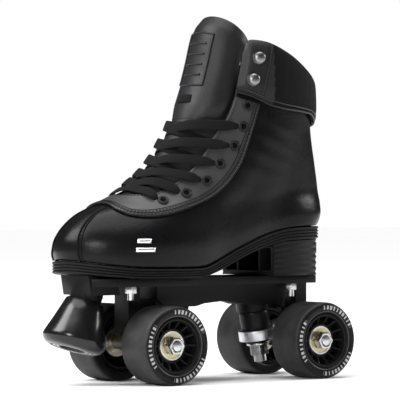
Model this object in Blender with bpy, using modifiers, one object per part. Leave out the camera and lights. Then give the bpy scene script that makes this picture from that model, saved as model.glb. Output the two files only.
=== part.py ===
"""Quad roller skate: a laced high boot on a nylon plate with two steering trucks and four wheels.

Run it with: blender --background --python part.py
Named lengths are in millimetres and the scene is in metres. The toe points to -Y, the visible
outer side of the boot is +X, and the wheels stand on Z = 0. Heights are above the floor.
"""
from math import asin, cos, pi, radians, sin, sqrt

import bmesh
import bpy
from mathutils import Matrix, Vector

MM = 0.001
GAP = 0.3                   # clearance that touching pieces keep

# Wheels and axles
WHEEL_RADIUS = 29.0
WHEEL_WIDTH = 34.0
WHEELBASE = 140.0
TRACK = 70.0                # between the wheels' centres
RIM_RADIUS = 20.5
SPOKE_COUNT = 14
SPOKE_THICKNESS = 1.8
BEARING_RADIUS = 11.0
BEARING_WIDTH = 7.0
BEARING_SPREAD = 18.4       # over both bearings and the spacer
AXLE_RADIUS = 3.9
NUT_FLATS = 12.0
NUT_HEIGHT = 6.0
AXLE_Z = 29.0
AXLE_Y = WHEELBASE / 2

# Trucks, measured from the wheels' axle
RING_SETBACK = 27.4         # ring centre towards the middle of the skate
RING_Z = AXLE_Z + 4.0
RING_RADIUS = 14.0
RING_HEIGHT = 7.6
STEER_RISE = 16.7           # degrees, the steering axis above level
KINGPIN_TILT = 10.0         # degrees off vertical
KINGPIN_RADIUS = 4.8
KINGPIN_REACH = 21.3        # below the ring's centre
CUSHION_RADIUS = 11.7
CUSHION_HEIGHT = 14.5
WASHER_RADIUS = 9.0
WASHER_HEIGHT = 1.8
KINGPIN_FLATS = 13.0
PIVOT_RADIUS = 4.7
PIVOT_START = 32.5          # from the ring's centre, along the steering axis
PIVOT_DEPTH = 9.0
CUP_WALL = 2.0

# Plate
DECK_Z = 78.0
DECK_THICKNESS = 5.7
DECK_HALF_WIDTH = 35.0
BEAM_HALF_WIDTH = 14.0
NOSE_HALF_WIDTH = 18.0
BOLT_SPREAD = 40.0          # between the left and right mounting bolts
BOLT_RADIUS = 2.5
BOLT_FLATS = 8.0
BOLT_HEAD_Z = 82.3
BOLT_HEAD_HEIGHT = 2.8
BOLT_TIP_Z = 62.0

# Toe stop
STOP_TILT = 18.0            # degrees, the lower end forward
STOP_TOP_RADIUS = 14.1
STOP_RADIUS = 24.0
STOP_LENGTH = 37.0
STOP_RECESS_RADIUS = 10.0
STOP_RECESS_DEPTH = 8.0
STOP_BOLT_RADIUS = 4.0
STOP_TOP_Z = 61.6

# Boot
SHELL = 2.2                 # thickness of the upper
FACING_GAP = 0.6
FACING_THICKNESS = 1.3
TAPE_THICKNESS = 0.8
EYELET_RADIUS = 4.2
EYELET_HOLE = 2.0
EYELET_RISE = 1.6           # of the eyelets above the facing
CUFF_THICKNESS = 4.5
TONGUE_THICKNESS = 6.0
TONGUE_CLEARANCE = 0.8
LACE_RADIUS = 1.3
INSOLE_THICKNESS = 3.0
SOLE_RIB = 1.0
SOLE_RIB_COUNT = 4
HEEL_FRONT_Y = 34.5
HEEL_GROOVE_COUNT = 6
HEEL_GROOVE = 0.8

# Heel button
BUTTON_HALF_WIDTH = 7.0
BUTTON_LOW_Z = 94.0
BUTTON_HIGH_Z = 103.5
BUTTON_OUT_Y = 96.5
BUTTON_IN_Y = 80.3
BUTTON_TRAVEL = 3.0
SPRING_RADIUS = 3.2
SPRING_WIRE = 0.5
SPRING_TURNS = 5
SPRING_DEPTH = 8.0

# Side view of the boot, as (y, z): front and top line, back line, top and bottom of the sole.
FRONT_LINE = [(-133.5, 91), (-136, 97), (-135.5, 104), (-132, 112), (-126, 119), (-118, 125),
              (-108, 129.5), (-97, 133.5), (-85, 139), (-73, 147), (-62, 156), (-52, 166.5),
              (-44, 178), (-37, 189), (-31, 201), (-26, 213), (-21, 226), (-17, 239), (-12, 258),
              (-9, 266), (-3, 276)]
BACK_LINE = [(92.5, 116), (96, 121), (98, 128), (98, 134), (97, 141), (95.5, 150), (93, 163),
             (90, 178), (88, 192), (87, 205), (86, 218), (85, 230), (84, 240)]
SOLE_TOP = [(-137, 91.5), (-110, 87.5), (-90, 85.9), (-40, 85.5), (-17, 92.5), (-4, 98.3),
            (9, 103.4), (21, 107.8), (34, 111.5), (48, 114.4), (70, 115.6), (95, 116.1)]
SOLE_BOTTOM = [(-137, 82.3), (-110, 79.5), (-90, 78.3), (-42, 78.3), (-28, 81), (-17, 84.2),
               (-4, 89.8), (9, 95), (21, 98.7), (34, 102.2), (48, 105), (95, 106.8)]
TOE_Z = FRONT_LINE[0][1]
HEEL_Z = BACK_LINE[0][1]
BACK_RISE = 0.7246          # the back line climbs this much for each unit of the front line
TOE_SHIFT = 6.5             # of the toe's tip towards the inner side

# Half-breadth factors at eight places from front to back, for four heights of the front line.
BREADTH_PLACES = [0, 0.13, 0.25, 0.4, 0.55, 0.7, 0.85, 0.95]
BREADTHS = [(91, [60, 56.5, 52, 44, 36.2, 36, 46, 57]),
            (104, [56, 55.5, 53, 45.5, 37.8, 37.4, 46, 55]),
            (134, [40, 41, 42, 39.5, 36.5, 36.5, 40.5, 44]),
            (190, [33, 34, 35, 37, 38, 38, 38, 38])]

# Throat and trims, as (height of the front line, fraction of the way back)
THROAT_Z = 139.0
THROAT_EDGE = [(139, 0.1), (153, 0.13), (187, 0.17), (209, 0.22), (219, 0.213), (235, 0.208),
               (258, 0.208)]
FACING_FRONT = [0.0, 0.006, 0.023, 0.05, 0.08]
FACING_SIDE = [142, 148, 156, 165, 175, 186, 198, 211]
FACING_OUTER = [(132.5, 0), (131.8, 0.008), (130.2, 0.028), (127.5, 0.065), (124.5, 0.115),
                (123.2, 0.18), (125, 0.25), (131, 0.312), (142, 0.352), (157, 0.368),
                (175, 0.373), (193, 0.377), (211, 0.385)]
CUFF_FRONT = 0.212          # fraction of the way back of the cuff's front edges
RIM_OVERHANG = 6.0          # of the cuff above the upper
UPPER_TOP = 258.0
UPPER_BEND = 225.0          # above this height the upper follows the cuff's rim
EYELETS = [(-67, 134), (-48.5, 139.8), (-31.3, 149.5), (-18.6, 162.3), (-5.4, 175.8),
           (3.5, 190.6), (7.8, 206.5)]
LACED_ROWS = 6
LACE_RISE = [(134, 0.9), (150, 0.5), (190, 0.35)]   # share of the way to the nearest front point
HOOKS = [(12, 225.4), (16.7, 242)]

# The cuff's lower edge and its rim, as (fraction of the way back, height of the front line)
CUFF_LOW = [(0.19, 218), (0.28, 216.3), (0.385, 212.4), (0.46, 209), (0.6, 207.2), (0.83, 207),
            (0.92, 203), (1, 195)]
CUFF_RIM = [(0.19, 258), (0.24, 262.5), (0.36, 264), (0.57, 260), (0.85, 250), (1, 246)]

# Tongue rows, as (height of the front line, half-width)
TONGUE_ROWS = [(135, 22), (142, 26), (152, 28), (165, 28.5), (178, 29.5), (187, 30), (194, 30),
               (202, 30), (211, 30), (221, 30), (232, 30), (244, 30), (256, 30), (264, 30),
               (270, 30), (276, 30)]
TONGUE_WRAP = 105           # degrees that its free part turns round the shin on each side
TONGUE_INSET = 3.4          # of its sides from the throat's edges
TONGUE_DROP = 17.0          # of its top, a quarter turn round
TONGUE_DROP_START = 232     # the height where its rows start to drop
TONGUE_EMERGE = (188, 208)  # between these heights it takes its free shape

BLACK_NYLON = ((0.012, 0.012, 0.013), 0.42, 0.0)
BLACK_LEATHER = ((0.022, 0.022, 0.024), 0.38, 0.0)
BLACK_TEXTILE = ((0.02, 0.02, 0.021), 0.85, 0.0)
BLACK_RUBBER = ((0.015, 0.015, 0.016), 0.6, 0.0)
GLOSS_BLACK = ((0.02, 0.02, 0.021), 0.18, 0.0)
BRIGHT_STEEL = ((0.62, 0.62, 0.63), 0.25, 1.0)
CAST_METAL = ((0.5, 0.5, 0.52), 0.4, 1.0)
BRASS_STEEL = ((0.55, 0.5, 0.36), 0.3, 1.0)
GREY_LINING = ((0.35, 0.35, 0.36), 0.9, 0.0)


# ---------------------------------------------------------------- scene helpers

def empty_scene():
    """Remove every object, and return new collections for the parts and the cutters."""
    for obj in list(bpy.data.objects):
        bpy.data.objects.remove(obj, do_unlink=True)
    collections = []
    for name in ("Quad roller skate", "Cutters"):
        collection = bpy.data.collections.new(name)
        bpy.context.scene.collection.children.link(collection)
        collections.append(collection)
    return collections


def finish_material(obj, look):
    """Give obj a Principled material of its own with a colour, roughness and metallic value."""
    colour, roughness, metallic = look
    material = bpy.data.materials.new(obj.name)
    material.use_nodes = True
    shader = material.node_tree.nodes["Principled BSDF"]
    shader.inputs["Base Color"].default_value = (*colour, 1)
    shader.inputs["Roughness"].default_value = roughness
    shader.inputs["Metallic"].default_value = metallic
    obj.data.materials.clear()
    obj.data.materials.append(material)


def link_mesh(name, bm):
    """Turn a bmesh in millimetres into an outward-facing object of the parts collection."""
    bmesh.ops.scale(bm, vec=(MM, MM, MM), verts=bm.verts)
    bmesh.ops.recalc_face_normals(bm, faces=bm.faces)
    mesh = bpy.data.meshes.new(name)
    bm.to_mesh(mesh)
    bm.free()
    obj = bpy.data.objects.new(name, mesh)
    PARTS.objects.link(obj)
    return obj


def bake(obj):
    """Replace obj's data by its evaluated mesh, welded and facing outwards."""
    bpy.context.view_layer.update()
    graph = bpy.context.evaluated_depsgraph_get()
    mesh = bpy.data.meshes.new_from_object(obj.evaluated_get(graph), depsgraph=graph)
    bm = bmesh.new()
    bm.from_mesh(mesh)
    bmesh.ops.remove_doubles(bm, verts=bm.verts, dist=1e-6)
    bmesh.ops.recalc_face_normals(bm, faces=bm.faces)
    bm.to_mesh(mesh)
    bm.free()
    solid = bpy.data.objects.new(obj.name, mesh)
    solid.matrix_world = obj.matrix_world
    name = obj.name
    bpy.data.objects.remove(obj, do_unlink=True)
    solid.name = name
    PARTS.objects.link(solid)
    return solid


def combine(target, tool, operation):
    """Join tool to target or cut it out, with a Boolean that stays live."""
    PARTS.objects.unlink(tool)
    CUTTERS.objects.link(tool)
    tool.hide_render = True
    tool.display_type = "WIRE"
    tool.parent = target
    boolean = target.modifiers.new(tool.name, "BOOLEAN")
    boolean.operation = operation
    boolean.solver = "EXACT"
    boolean.object = tool


def join(target, tool):
    combine(target, tool, "UNION")


def cut(target, tool):
    combine(target, tool, "DIFFERENCE")


def frame_along(start, direction):
    """A matrix that puts local Z along direction and the origin at start."""
    turn = Vector((0, 0, 1)).rotation_difference(Vector(direction)).to_matrix().to_4x4()
    return Matrix.Translation(Vector(start)) @ turn


# ---------------------------------------------------------------- solids

def box(name, low, high):
    bm = bmesh.new()
    bmesh.ops.create_cube(bm, size=1)
    size = Vector(high) - Vector(low)
    bmesh.ops.scale(bm, vec=size, verts=bm.verts)
    bmesh.ops.translate(bm, vec=Vector(low) + size / 2, verts=bm.verts)
    return link_mesh(name, bm)


def rod(name, start, end, radius, sides=20, end_radius=None):
    """A capped cylinder or cone from start to end. Six sides make a hexagon."""
    run = Vector(end) - Vector(start)
    bm = bmesh.new()
    bmesh.ops.create_cone(bm, cap_ends=True, segments=sides, radius1=radius,
                          radius2=radius if end_radius is None else end_radius, depth=run.length,
                          matrix=Matrix.Translation((0, 0, run.length / 2)))
    bmesh.ops.transform(bm, matrix=frame_along(start, run.normalized()), verts=bm.verts)
    return link_mesh(name, bm)


def hexagon(name, start, end, flats):
    return rod(name, start, end, flats / sqrt(3), sides=6)


def turned(name, profile, start, direction, sides=28):
    """Turn a closed (radius, along) profile round the axis that leaves start."""
    bm = bmesh.new()
    loop = [bm.verts.new((radius * MM, 0, along * MM)) for radius, along in profile]
    for vert, following in zip(loop, loop[1:] + loop[:1]):
        bm.edges.new((vert, following))
    mesh = bpy.data.meshes.new(name)
    bm.to_mesh(mesh)
    bm.free()
    obj = bpy.data.objects.new(name, mesh)
    PARTS.objects.link(obj)
    screw = obj.modifiers.new("Turn", "SCREW")
    screw.steps = sides
    screw.render_steps = sides
    screw.use_merge_vertices = True
    screw.merge_threshold = 1e-5
    solid = bake(obj)
    placed = frame_along(Vector(start) * MM, Vector(direction).normalized())
    solid.data.transform(placed)
    return solid


def tube(name, profile_inner, profile_outer, start, direction, low, high, sides=18):
    """A plain turned tube between two places on its axis."""
    profile = [(profile_inner, low), (profile_outer, low), (profile_outer, high),
               (profile_inner, high)]
    return turned(name, profile, start, direction, sides)


def flat_outline(name, points, low, high, side_view=False):
    """Extrude an outline: (x, y) points upwards, or (y, z) points across the skate."""
    curve = bpy.data.curves.new(name, "CURVE")
    curve.dimensions = "2D"
    curve.fill_mode = "BOTH"
    curve.extrude = (high - low) / 2 * MM
    spline = curve.splines.new("POLY")
    spline.points.add(len(points) - 1)
    for point, (across, along) in zip(spline.points, points):
        point.co = (across * MM, along * MM, 0, 1)
    spline.use_cyclic_u = True
    obj = bpy.data.objects.new(name, curve)
    PARTS.objects.link(obj)
    solid = bake(obj)
    middle = (low + high) / 2 * MM
    if side_view:
        solid.data.transform(Matrix(((0, 0, 1, middle), (1, 0, 0, 0), (0, 1, 0, 0), (0, 0, 0, 1))))
    else:
        solid.data.transform(Matrix.Translation((0, 0, middle)))
    return solid


def loft(name, rings, from_tip=True):
    """Close a stack of equal rings, with caps that pair each point with its opposite one.

    A ring starts at its tip, or else its first and last points are opposite each other.
    """
    bm = bmesh.new()
    rows = [[bm.verts.new(point) for point in ring] for ring in rings]
    count = len(rows[0])
    for lower, upper in zip(rows, rows[1:]):
        for i in range(count):
            j = (i + 1) % count
            bm.faces.new((lower[i], lower[j], upper[j], upper[i]))
    last = count if from_tip else count - 1
    for row in (rows[0], rows[-1]):
        for i in range(last // 2):
            corners = [row[i], row[i + 1], row[last - i - 1], row[(last - i) % count]]
            bm.faces.new(list(dict.fromkeys(corners)))
    return link_mesh(name, bm)


def panel(name, rows, offset, thickness):
    """A sheet through rows of points, moved outwards by offset and thickened outwards."""
    bm = bmesh.new()
    grid = [[bm.verts.new(point) for point in row] for row in rows]
    for lower, upper in zip(grid, grid[1:]):
        for i in range(len(lower) - 1):
            bm.faces.new((lower[i], lower[i + 1], upper[i + 1], upper[i]))
    obj = sheet_object(name, bm, offset)
    solidify = obj.modifiers.new("Thickness", "SOLIDIFY")
    solidify.thickness = abs(thickness) * MM
    solidify.offset = 1 if thickness > 0 else -1
    solidify.use_even_offset = True
    return obj


def sheet_object(name, bm, offset):
    """Move an open sheet's vertices outwards and make it an object."""
    bm.normal_update()
    bm.faces.ensure_lookup_table()
    middle = bm.faces[len(bm.faces) // 2]
    if middle.normal.dot(middle.calc_center_median() - BOOT_CORE) < 0:
        bmesh.ops.reverse_faces(bm, faces=bm.faces)
        bm.normal_update()
    moved = [(vert, vert.co + vert.normal * offset) for vert in bm.verts]
    for vert, place in moved:
        vert.co = place
    bmesh.ops.scale(bm, vec=(MM, MM, MM), verts=bm.verts)
    mesh = bpy.data.meshes.new(name)
    bm.to_mesh(mesh)
    bm.free()
    obj = bpy.data.objects.new(name, mesh)
    PARTS.objects.link(obj)
    return obj


def wire(name, points, radius, resolution=2):
    """A round wire or cord through points, with filled and welded caps."""
    curve = bpy.data.curves.new(name, "CURVE")
    curve.dimensions = "3D"
    curve.bevel_depth = radius * MM
    curve.bevel_resolution = resolution
    curve.use_fill_caps = True
    spline = curve.splines.new("POLY")
    spline.points.add(len(points) - 1)
    for point, place in zip(spline.points, points):
        point.co = (*(Vector(place) * MM), 1)
    obj = bpy.data.objects.new(name, curve)
    PARTS.objects.link(obj)
    return bake(obj)


# ---------------------------------------------------------------- boot surface

BOOT_CORE = Vector((0, 20, 150))


def along_line(table, value, key=0):
    """Read a table of pairs smoothly and without overshoot: key 1 looks up the second column."""
    pairs = [(row[key], row[1 - key]) for row in table]
    value = min(max(value, pairs[0][0]), pairs[-1][0])
    slopes = [(b[1] - a[1]) / (b[0] - a[0]) for a, b in zip(pairs, pairs[1:])]
    i = max(n for n in range(len(slopes)) if pairs[n][0] <= value)
    (start, low), (end, high) = pairs[i], pairs[i + 1]
    span = end - start
    t = (value - start) / span

    def knot_slope(before, after):
        return 2 * before * after / (before + after) * span if before * after > 0 else 0

    slope_start = knot_slope(slopes[max(i - 1, 0)], slopes[i])
    slope_end = knot_slope(slopes[i], slopes[min(i + 1, len(slopes) - 1)])
    return ((2 * t ** 3 - 3 * t ** 2 + 1) * low + (t ** 3 - 2 * t ** 2 + t) * slope_start
            + (3 * t ** 2 - 2 * t ** 3) * high + (t ** 3 - t ** 2) * slope_end)


def smooth_step(low, high, value):
    t = min(max((value - low) / (high - low), 0), 1)
    return t * t * (3 - 2 * t)


def back_height(level):
    return HEEL_Z + BACK_RISE * (level - TOE_Z)


def breadth(level, back):
    """The boot's half-breadth factor at a level and a fraction of the way back."""
    places = [list(zip(BREADTH_PLACES, values)) for _, values in BREADTHS]
    heights = [height for height, _ in BREADTHS]
    at_place = [along_line(table, back) for table in places]
    return along_line(list(zip(heights, at_place)), level)


def boot_point(level, back, side=1):
    """A point on the boot's outside: level is the front line's height, back runs from 0 to 1."""
    front_y = along_line(FRONT_LINE, level, 1)
    back_y = along_line(BACK_LINE, back_height(level), 1)
    y = front_y + back * (back_y - front_y)
    x = side * 2 * sqrt(max(back * (1 - back), 0)) * breadth(level, back)
    fade = max(1 - (level - TOE_Z) / 59, 0) ** 1.5
    shift = TOE_SHIFT * (1 - back) ** 2 * fade ** 0.5
    sole_y = along_line(FRONT_LINE, TOE_Z, 1) * (1 - back) + BACK_LINE[0][0] * back
    dip = along_line(SOLE_TOP, sole_y) - (TOE_Z + back * (HEEL_Z - TOE_Z))
    z = level + back * (back_height(level) - level) + dip * fade
    return Vector((x - shift, y, z))


def boot_normal(level, back, side=1):
    """The outward direction at a boot point."""
    step = 0.01
    low = max(back - step, 0.002)
    along = boot_point(level, back + step, side) - boot_point(level, low, side)
    up = boot_point(level + 1, back, side) - boot_point(level - 1, back, side)
    normal = along.cross(up).normalized()
    centre = Vector((0, boot_point(level, 0.5).y, boot_point(level, 0.5).z))
    return normal if normal.dot(boot_point(level, back, side) - centre) > 0 else -normal


def locate(y, z):
    """The level and the fraction back of a side-view point."""
    level = z
    back = 0.2
    for _ in range(30):
        front_y = along_line(FRONT_LINE, level, 1)
        back_y = along_line(BACK_LINE, back_height(level), 1)
        back = min(max((y - front_y) / (back_y - front_y), 0), 1)
        level += z - boot_point(level, back).z
    return level, back


def back_at(level, x):
    """The fraction back of the boot point x off the centre, on its front half."""
    back = 0.05
    for _ in range(12):
        half = min(abs(x) / breadth(level, back), 0.99)
        back = (1 - sqrt(1 - half * half)) / 2
    return back


def nearest_front(y, z):
    """The height of the front-line point that is nearest to a side-view point."""
    def distance(height):
        return (along_line(FRONT_LINE, height, 1) - y) ** 2 + (height - z) ** 2
    return min((120 + 0.5 * n for n in range(260)), key=distance)


def spread(start, end, count):
    """Evenly turned fractions from start to end, so that a ring's points are even."""
    def turn(back):
        return 2 * asin(sqrt(back))
    turns = [turn(start) + (turn(end) - turn(start)) * i / (count - 1) for i in range(count)]
    return [(1 - cos(value)) / 2 for value in turns]


def throat_edge(level):
    return along_line(THROAT_EDGE, max(level, THROAT_Z))


def lace_crest(y, z):
    """The height at which a lace that leaves an eyelet crosses the front line."""
    share = along_line(LACE_RISE, z)
    return z + share * (nearest_front(y, z) - z)


def sole_outline(offset, first=0.0, count=29):
    """Points round the sole from the toe to the heel and back, moved outwards by offset."""
    backs = spread(first, 1, count)
    near = [boot_point(TOE_Z, back) for back in backs]
    far = [boot_point(TOE_Z, back, -1) for back in backs]
    ring = near + far[-2:0 if first == 0 else None:-1]
    moved = []
    for i, point in enumerate(ring):
        before = ring[i - 1]
        after = ring[(i + 1) % len(ring)]
        if first > 0 and i == 0:
            before = point
        if first > 0 and i == len(ring) - 1:
            after = point
        run = (after - before).to_2d().normalized()
        moved.append(Vector((point.x + run.y * offset, point.y - run.x * offset)))
    return moved


# ---------------------------------------------------------------- wheels

def wheel(name, centre, side):
    """Tyre, hub, bearings and axle nut round a centre. Returns the spinning ones and the nut."""
    out = (side, 0, 0)
    half = WHEEL_WIDTH / 2
    bore = RIM_RADIUS + GAP
    tyre_profile = [(bore, -half + 2), (WHEEL_RADIUS - 3, -half), (WHEEL_RADIUS - 1.4, -half + 0.4),
                    (WHEEL_RADIUS, -half + 2.5), (WHEEL_RADIUS, half - 2.5),
                    (WHEEL_RADIUS - 1.4, half - 0.4), (WHEEL_RADIUS - 3, half), (bore, half - 2)]
    tyre = turned(name + "_tyre", tyre_profile, centre, out, 28)
    finish_material(tyre, BLACK_RUBBER)

    seat = BEARING_RADIUS + GAP
    core = seat + 2.3
    rim = RIM_RADIUS - 2.5
    long = half - 2
    short = BEARING_SPREAD / 2 + 0.2
    web = 2.0
    hub_profile = [(seat, -short), (core, -short), (core, -web), (rim, -web), (rim, -long),
                   (RIM_RADIUS, -long), (RIM_RADIUS, long), (rim, long), (rim, web), (core, web),
                   (core, short), (seat, short)]
    hub = turned(name + "_hub", hub_profile, centre, out, 2 * SPOKE_COUNT)
    for i in range(SPOKE_COUNT):
        spoke = box(f"{name}_spoke_{i}", (-short + 1, -SPOKE_THICKNESS / 2, core - 0.5),
                    (short - 1, SPOKE_THICKNESS / 2, rim + 0.5))
        turn = Matrix.Rotation(2 * pi * (i + 0.5) / SPOKE_COUNT, 4, "X")
        spoke.data.transform(Matrix.Translation(Vector(centre) * MM) @ turn)
        join(hub, spoke)
    finish_material(hub, BLACK_NYLON)

    spacer = AXLE_RADIUS + 2.1
    end = BEARING_SPREAD / 2
    inner = end - BEARING_WIDTH
    bearing_profile = [(AXLE_RADIUS + GAP, -end), (BEARING_RADIUS, -end), (BEARING_RADIUS, -inner),
                       (spacer, -inner), (spacer, inner), (BEARING_RADIUS, inner),
                       (BEARING_RADIUS, end), (AXLE_RADIUS + GAP, end)]
    bearings = turned(name + "_bearings", bearing_profile, centre, out, 18)
    finish_material(bearings, BRASS_STEEL)

    nut_start = Vector(centre) + Vector(out) * (end + GAP)
    nut_end = nut_start + Vector(out) * NUT_HEIGHT
    nut = hexagon(name + "_axle_nut", nut_start, nut_end, NUT_FLATS)
    cut(nut, rod(name + "_nut_bore", nut_start - Vector(out), nut_end + Vector(out),
                 AXLE_RADIUS + GAP, 16))
    finish_material(nut, BRIGHT_STEEL)
    return [tyre, hub, bearings], nut


# ---------------------------------------------------------------- trucks

class TruckFrame:
    """Places on one truck. Way is 1 for the rear truck and -1 for the front one."""

    def __init__(self, way):
        self.way = way
        self.axle = Vector((0, way * AXLE_Y, AXLE_Z))
        self.ring = Vector((0, way * (AXLE_Y - RING_SETBACK), RING_Z))
        self.steer = Vector((0, way * cos(radians(STEER_RISE)), sin(radians(STEER_RISE))))
        self.up = Vector((0, -way * sin(radians(KINGPIN_TILT)), cos(radians(KINGPIN_TILT))))

    def on_kingpin(self, height):
        return self.ring + self.up * height

    def on_steer(self, distance):
        return self.ring + self.steer * distance


def truck(name, place):
    """The pieces of one truck. Returns those that steer and those that stay with the plate."""
    half_ring = RING_HEIGHT / 2
    bore = KINGPIN_RADIUS + 1.1
    hanger = tube(name + "_hanger", bore, RING_RADIUS, place.ring, place.up, -half_ring,
                  half_ring, 28)
    way = place.way
    end_y = place.axle.y
    web = [(end_y - way * 16, AXLE_Z + 0.5), (end_y - way * 16, AXLE_Z + 7.5),
           (end_y - way * 8, AXLE_Z + 12.5), (end_y, AXLE_Z + 12), (end_y + way * 4, AXLE_Z + 1),
           (end_y, AXLE_Z - 5), (end_y - way * 8, AXLE_Z - 4)]
    join(hanger, flat_outline(name + "_web", web, -5, 5, side_view=True))
    housing = AXLE_RADIUS + 2.6
    inner_face = TRACK / 2 - WHEEL_WIDTH / 2
    join(hanger, rod(name + "_beam", (1 - inner_face, end_y, AXLE_Z),
                     (inner_face - 1, end_y, AXLE_Z), housing, 20))
    shoulder = TRACK / 2 - BEARING_SPREAD / 2 - GAP
    join(hanger, rod(name + "_shoulders", (-shoulder, end_y, AXLE_Z), (shoulder, end_y, AXLE_Z),
                     AXLE_RADIUS + 1.5, 20))
    tip = PIVOT_START + PIVOT_DEPTH - CUP_WALL - 0.6
    join(hanger, rod(name + "_pivot", place.on_steer(RING_RADIUS - 1), place.on_steer(tip),
                     PIVOT_RADIUS + 1, 16, end_radius=PIVOT_RADIUS))
    cut(hanger, rod(name + "_axle_bore", (-shoulder - 2, end_y, AXLE_Z),
                    (shoulder + 2, end_y, AXLE_Z), AXLE_RADIUS + GAP, 16))
    finish_material(hanger, CAST_METAL)

    tip_x = TRACK / 2 + BEARING_SPREAD / 2 + GAP + NUT_HEIGHT + 0.5
    axle = rod(name + "_axle", (-tip_x, end_y, AXLE_Z), (tip_x, end_y, AXLE_Z), AXLE_RADIUS, 16)
    finish_material(axle, BRIGHT_STEEL)

    top = half_ring + GAP
    boss = top + CUSHION_HEIGHT + GAP
    kingpin = rod(name + "_kingpin", place.on_kingpin(-KINGPIN_REACH), place.on_kingpin(boss + 14),
                  KINGPIN_RADIUS, 20)
    finish_material(kingpin, BRIGHT_STEEL)
    pin_hole = KINGPIN_RADIUS + GAP
    upper = tube(name + "_upper_cushion", pin_hole, CUSHION_RADIUS, place.ring, place.up, top,
                 top + CUSHION_HEIGHT)
    finish_material(upper, BLACK_RUBBER)
    lower_end = top + WASHER_HEIGHT
    lower = tube(name + "_lower_cushion", pin_hole, WASHER_RADIUS, place.ring, place.up,
                 -lower_end, -top)
    finish_material(lower, BLACK_RUBBER)
    washer_top = lower_end + GAP
    washer_end = washer_top + WASHER_HEIGHT
    washer = tube(name + "_cushion_washer", pin_hole, WASHER_RADIUS, place.ring, place.up,
                  -washer_end, -washer_top)
    finish_material(washer, BRIGHT_STEEL)
    nut_top = washer_end + GAP
    nut = hexagon(name + "_kingpin_nut", place.on_kingpin(-nut_top),
                  place.on_kingpin(-nut_top - 7.5), KINGPIN_FLATS)
    cut(nut, rod(name + "_kingpin_bore", place.on_kingpin(-nut_top + 1),
                 place.on_kingpin(-nut_top - 9), pin_hole, 20))
    finish_material(nut, BRIGHT_STEEL)

    inner = PIVOT_RADIUS + 0.7
    outer = inner + CUP_WALL
    floor = PIVOT_START + PIVOT_DEPTH
    cup_profile = [(0, floor - CUP_WALL), (inner, floor - CUP_WALL), (inner, PIVOT_START),
                   (outer, PIVOT_START), (outer, floor), (0, floor)]
    cup = turned(name + "_pivot_cup", cup_profile, place.ring, place.steer, 14)
    finish_material(cup, BLACK_RUBBER)
    return [hanger, axle], [kingpin, upper, lower, washer, nut, cup]


# ---------------------------------------------------------------- plate and toe stop

def stop_axis():
    """The top of the toe stop and the direction from it up into the plate."""
    up = Vector((0, sin(radians(STOP_TILT)), cos(radians(STOP_TILT))))
    return Vector((0, -AXLE_Y - 47, STOP_TOP_Z)), up


def bolt_places():
    rows = (-AXLE_Y - 20, AXLE_Y - 10)
    return [(side * BOLT_SPREAD / 2, y) for y in rows for side in (-1, 1)]


def plate(trucks):
    """The nylon plate: a flange, a centre beam, truck mounts and the toe-stop nose."""
    low = DECK_Z - DECK_THICKNESS
    wide = DECK_HALF_WIDTH
    half = [(19, -AXLE_Y - 54), (wide * 0.82, -AXLE_Y - 42), (wide * 0.97, -AXLE_Y - 25),
            (wide, -AXLE_Y - 10), (wide * 0.94, -AXLE_Y + 8), (wide * 0.8, -AXLE_Y * 0.57),
            (wide * 0.72, -AXLE_Y * 0.2), (wide * 0.72, AXLE_Y * 0.3), (wide * 0.78, AXLE_Y * 0.64),
            (wide * 0.8, AXLE_Y), (wide * 0.74, AXLE_Y + 10), (wide * 0.57, AXLE_Y + 14)]
    outline = half + [(-x, y) for x, y in reversed(half)]
    body = flat_outline("plate", outline, low, DECK_Z)
    reach = AXLE_Y - 8
    beam = [(-reach, low + 1), (-reach, 62), (-reach + 8, 56), (-AXLE_Y * 0.37, 56),
            (-AXLE_Y * 0.26, 58), (0, 59.5), (AXLE_Y * 0.26, 58), (AXLE_Y * 0.37, 56),
            (reach - 8, 56), (reach, 62), (reach, low + 1)]
    join(body, flat_outline("plate_beam", beam, -BEAM_HALF_WIDTH, BEAM_HALF_WIDTH, side_view=True))
    top, up = stop_axis()
    nose_y = -AXLE_Y - 57
    nose = [(nose_y + 0.6, 80.6), (nose_y + 15, 78.6), (nose_y + 26, DECK_Z - 0.6),
            (nose_y + 29, 66), (nose_y + 3, 66)]
    join(body, flat_outline("plate_nose", nose, -NOSE_HALF_WIDTH, NOSE_HALF_WIDTH, side_view=True))
    join(body, rod("plate_stop_mount", top + up * GAP, top + up * 13.5, 12, 28))
    boss = RING_HEIGHT / 2 + 2 * GAP + CUSHION_HEIGHT
    for name, place in trucks:
        way = place.way
        join(body, rod(name + "_boss", place.on_kingpin(boss), place.on_kingpin(boss + 21), 13, 28))
        mount_y = sorted((place.axle.y - way * 17, place.axle.y - way * 9))
        join(body, box(name + "_mount", (-11.5, mount_y[0], 53), (11.5, mount_y[1], low + 1)))
        start = place.on_steer(PIVOT_START)
        end = place.on_steer(PIVOT_START + PIVOT_DEPTH + 2)
        outer = PIVOT_RADIUS + 0.7 + CUP_WALL + GAP
        join(body, rod(name + "_pivot_housing", start, end, outer + 2.2, 24))
        block_y = sorted((start.y, end.y))
        join(body, box(name + "_pivot_block", (-9, block_y[0], start.z), (9, block_y[1], low + 1)))
        cut(body, rod(name + "_pivot_pocket", place.on_steer(PIVOT_START - 6),
                      place.on_steer(PIVOT_START + PIVOT_DEPTH + GAP), outer, 20))
        cut(body, rod(name + "_kingpin_hole", place.on_kingpin(boss - 3),
                      place.on_kingpin(boss + 14 + GAP), KINGPIN_RADIUS + GAP, 20))
    cut(body, rod("plate_stop_hole", top - up * 2, top + up * 12.3, STOP_BOLT_RADIUS + GAP, 16))
    for i, (x, y) in enumerate(bolt_places()):
        cut(body, rod(f"plate_bolt_hole_{i}", (x, y, low - 5), (x, y, DECK_Z + 5),
                      BOLT_RADIUS + GAP, 14))
    finish_material(body, BLACK_NYLON)
    return body


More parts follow.
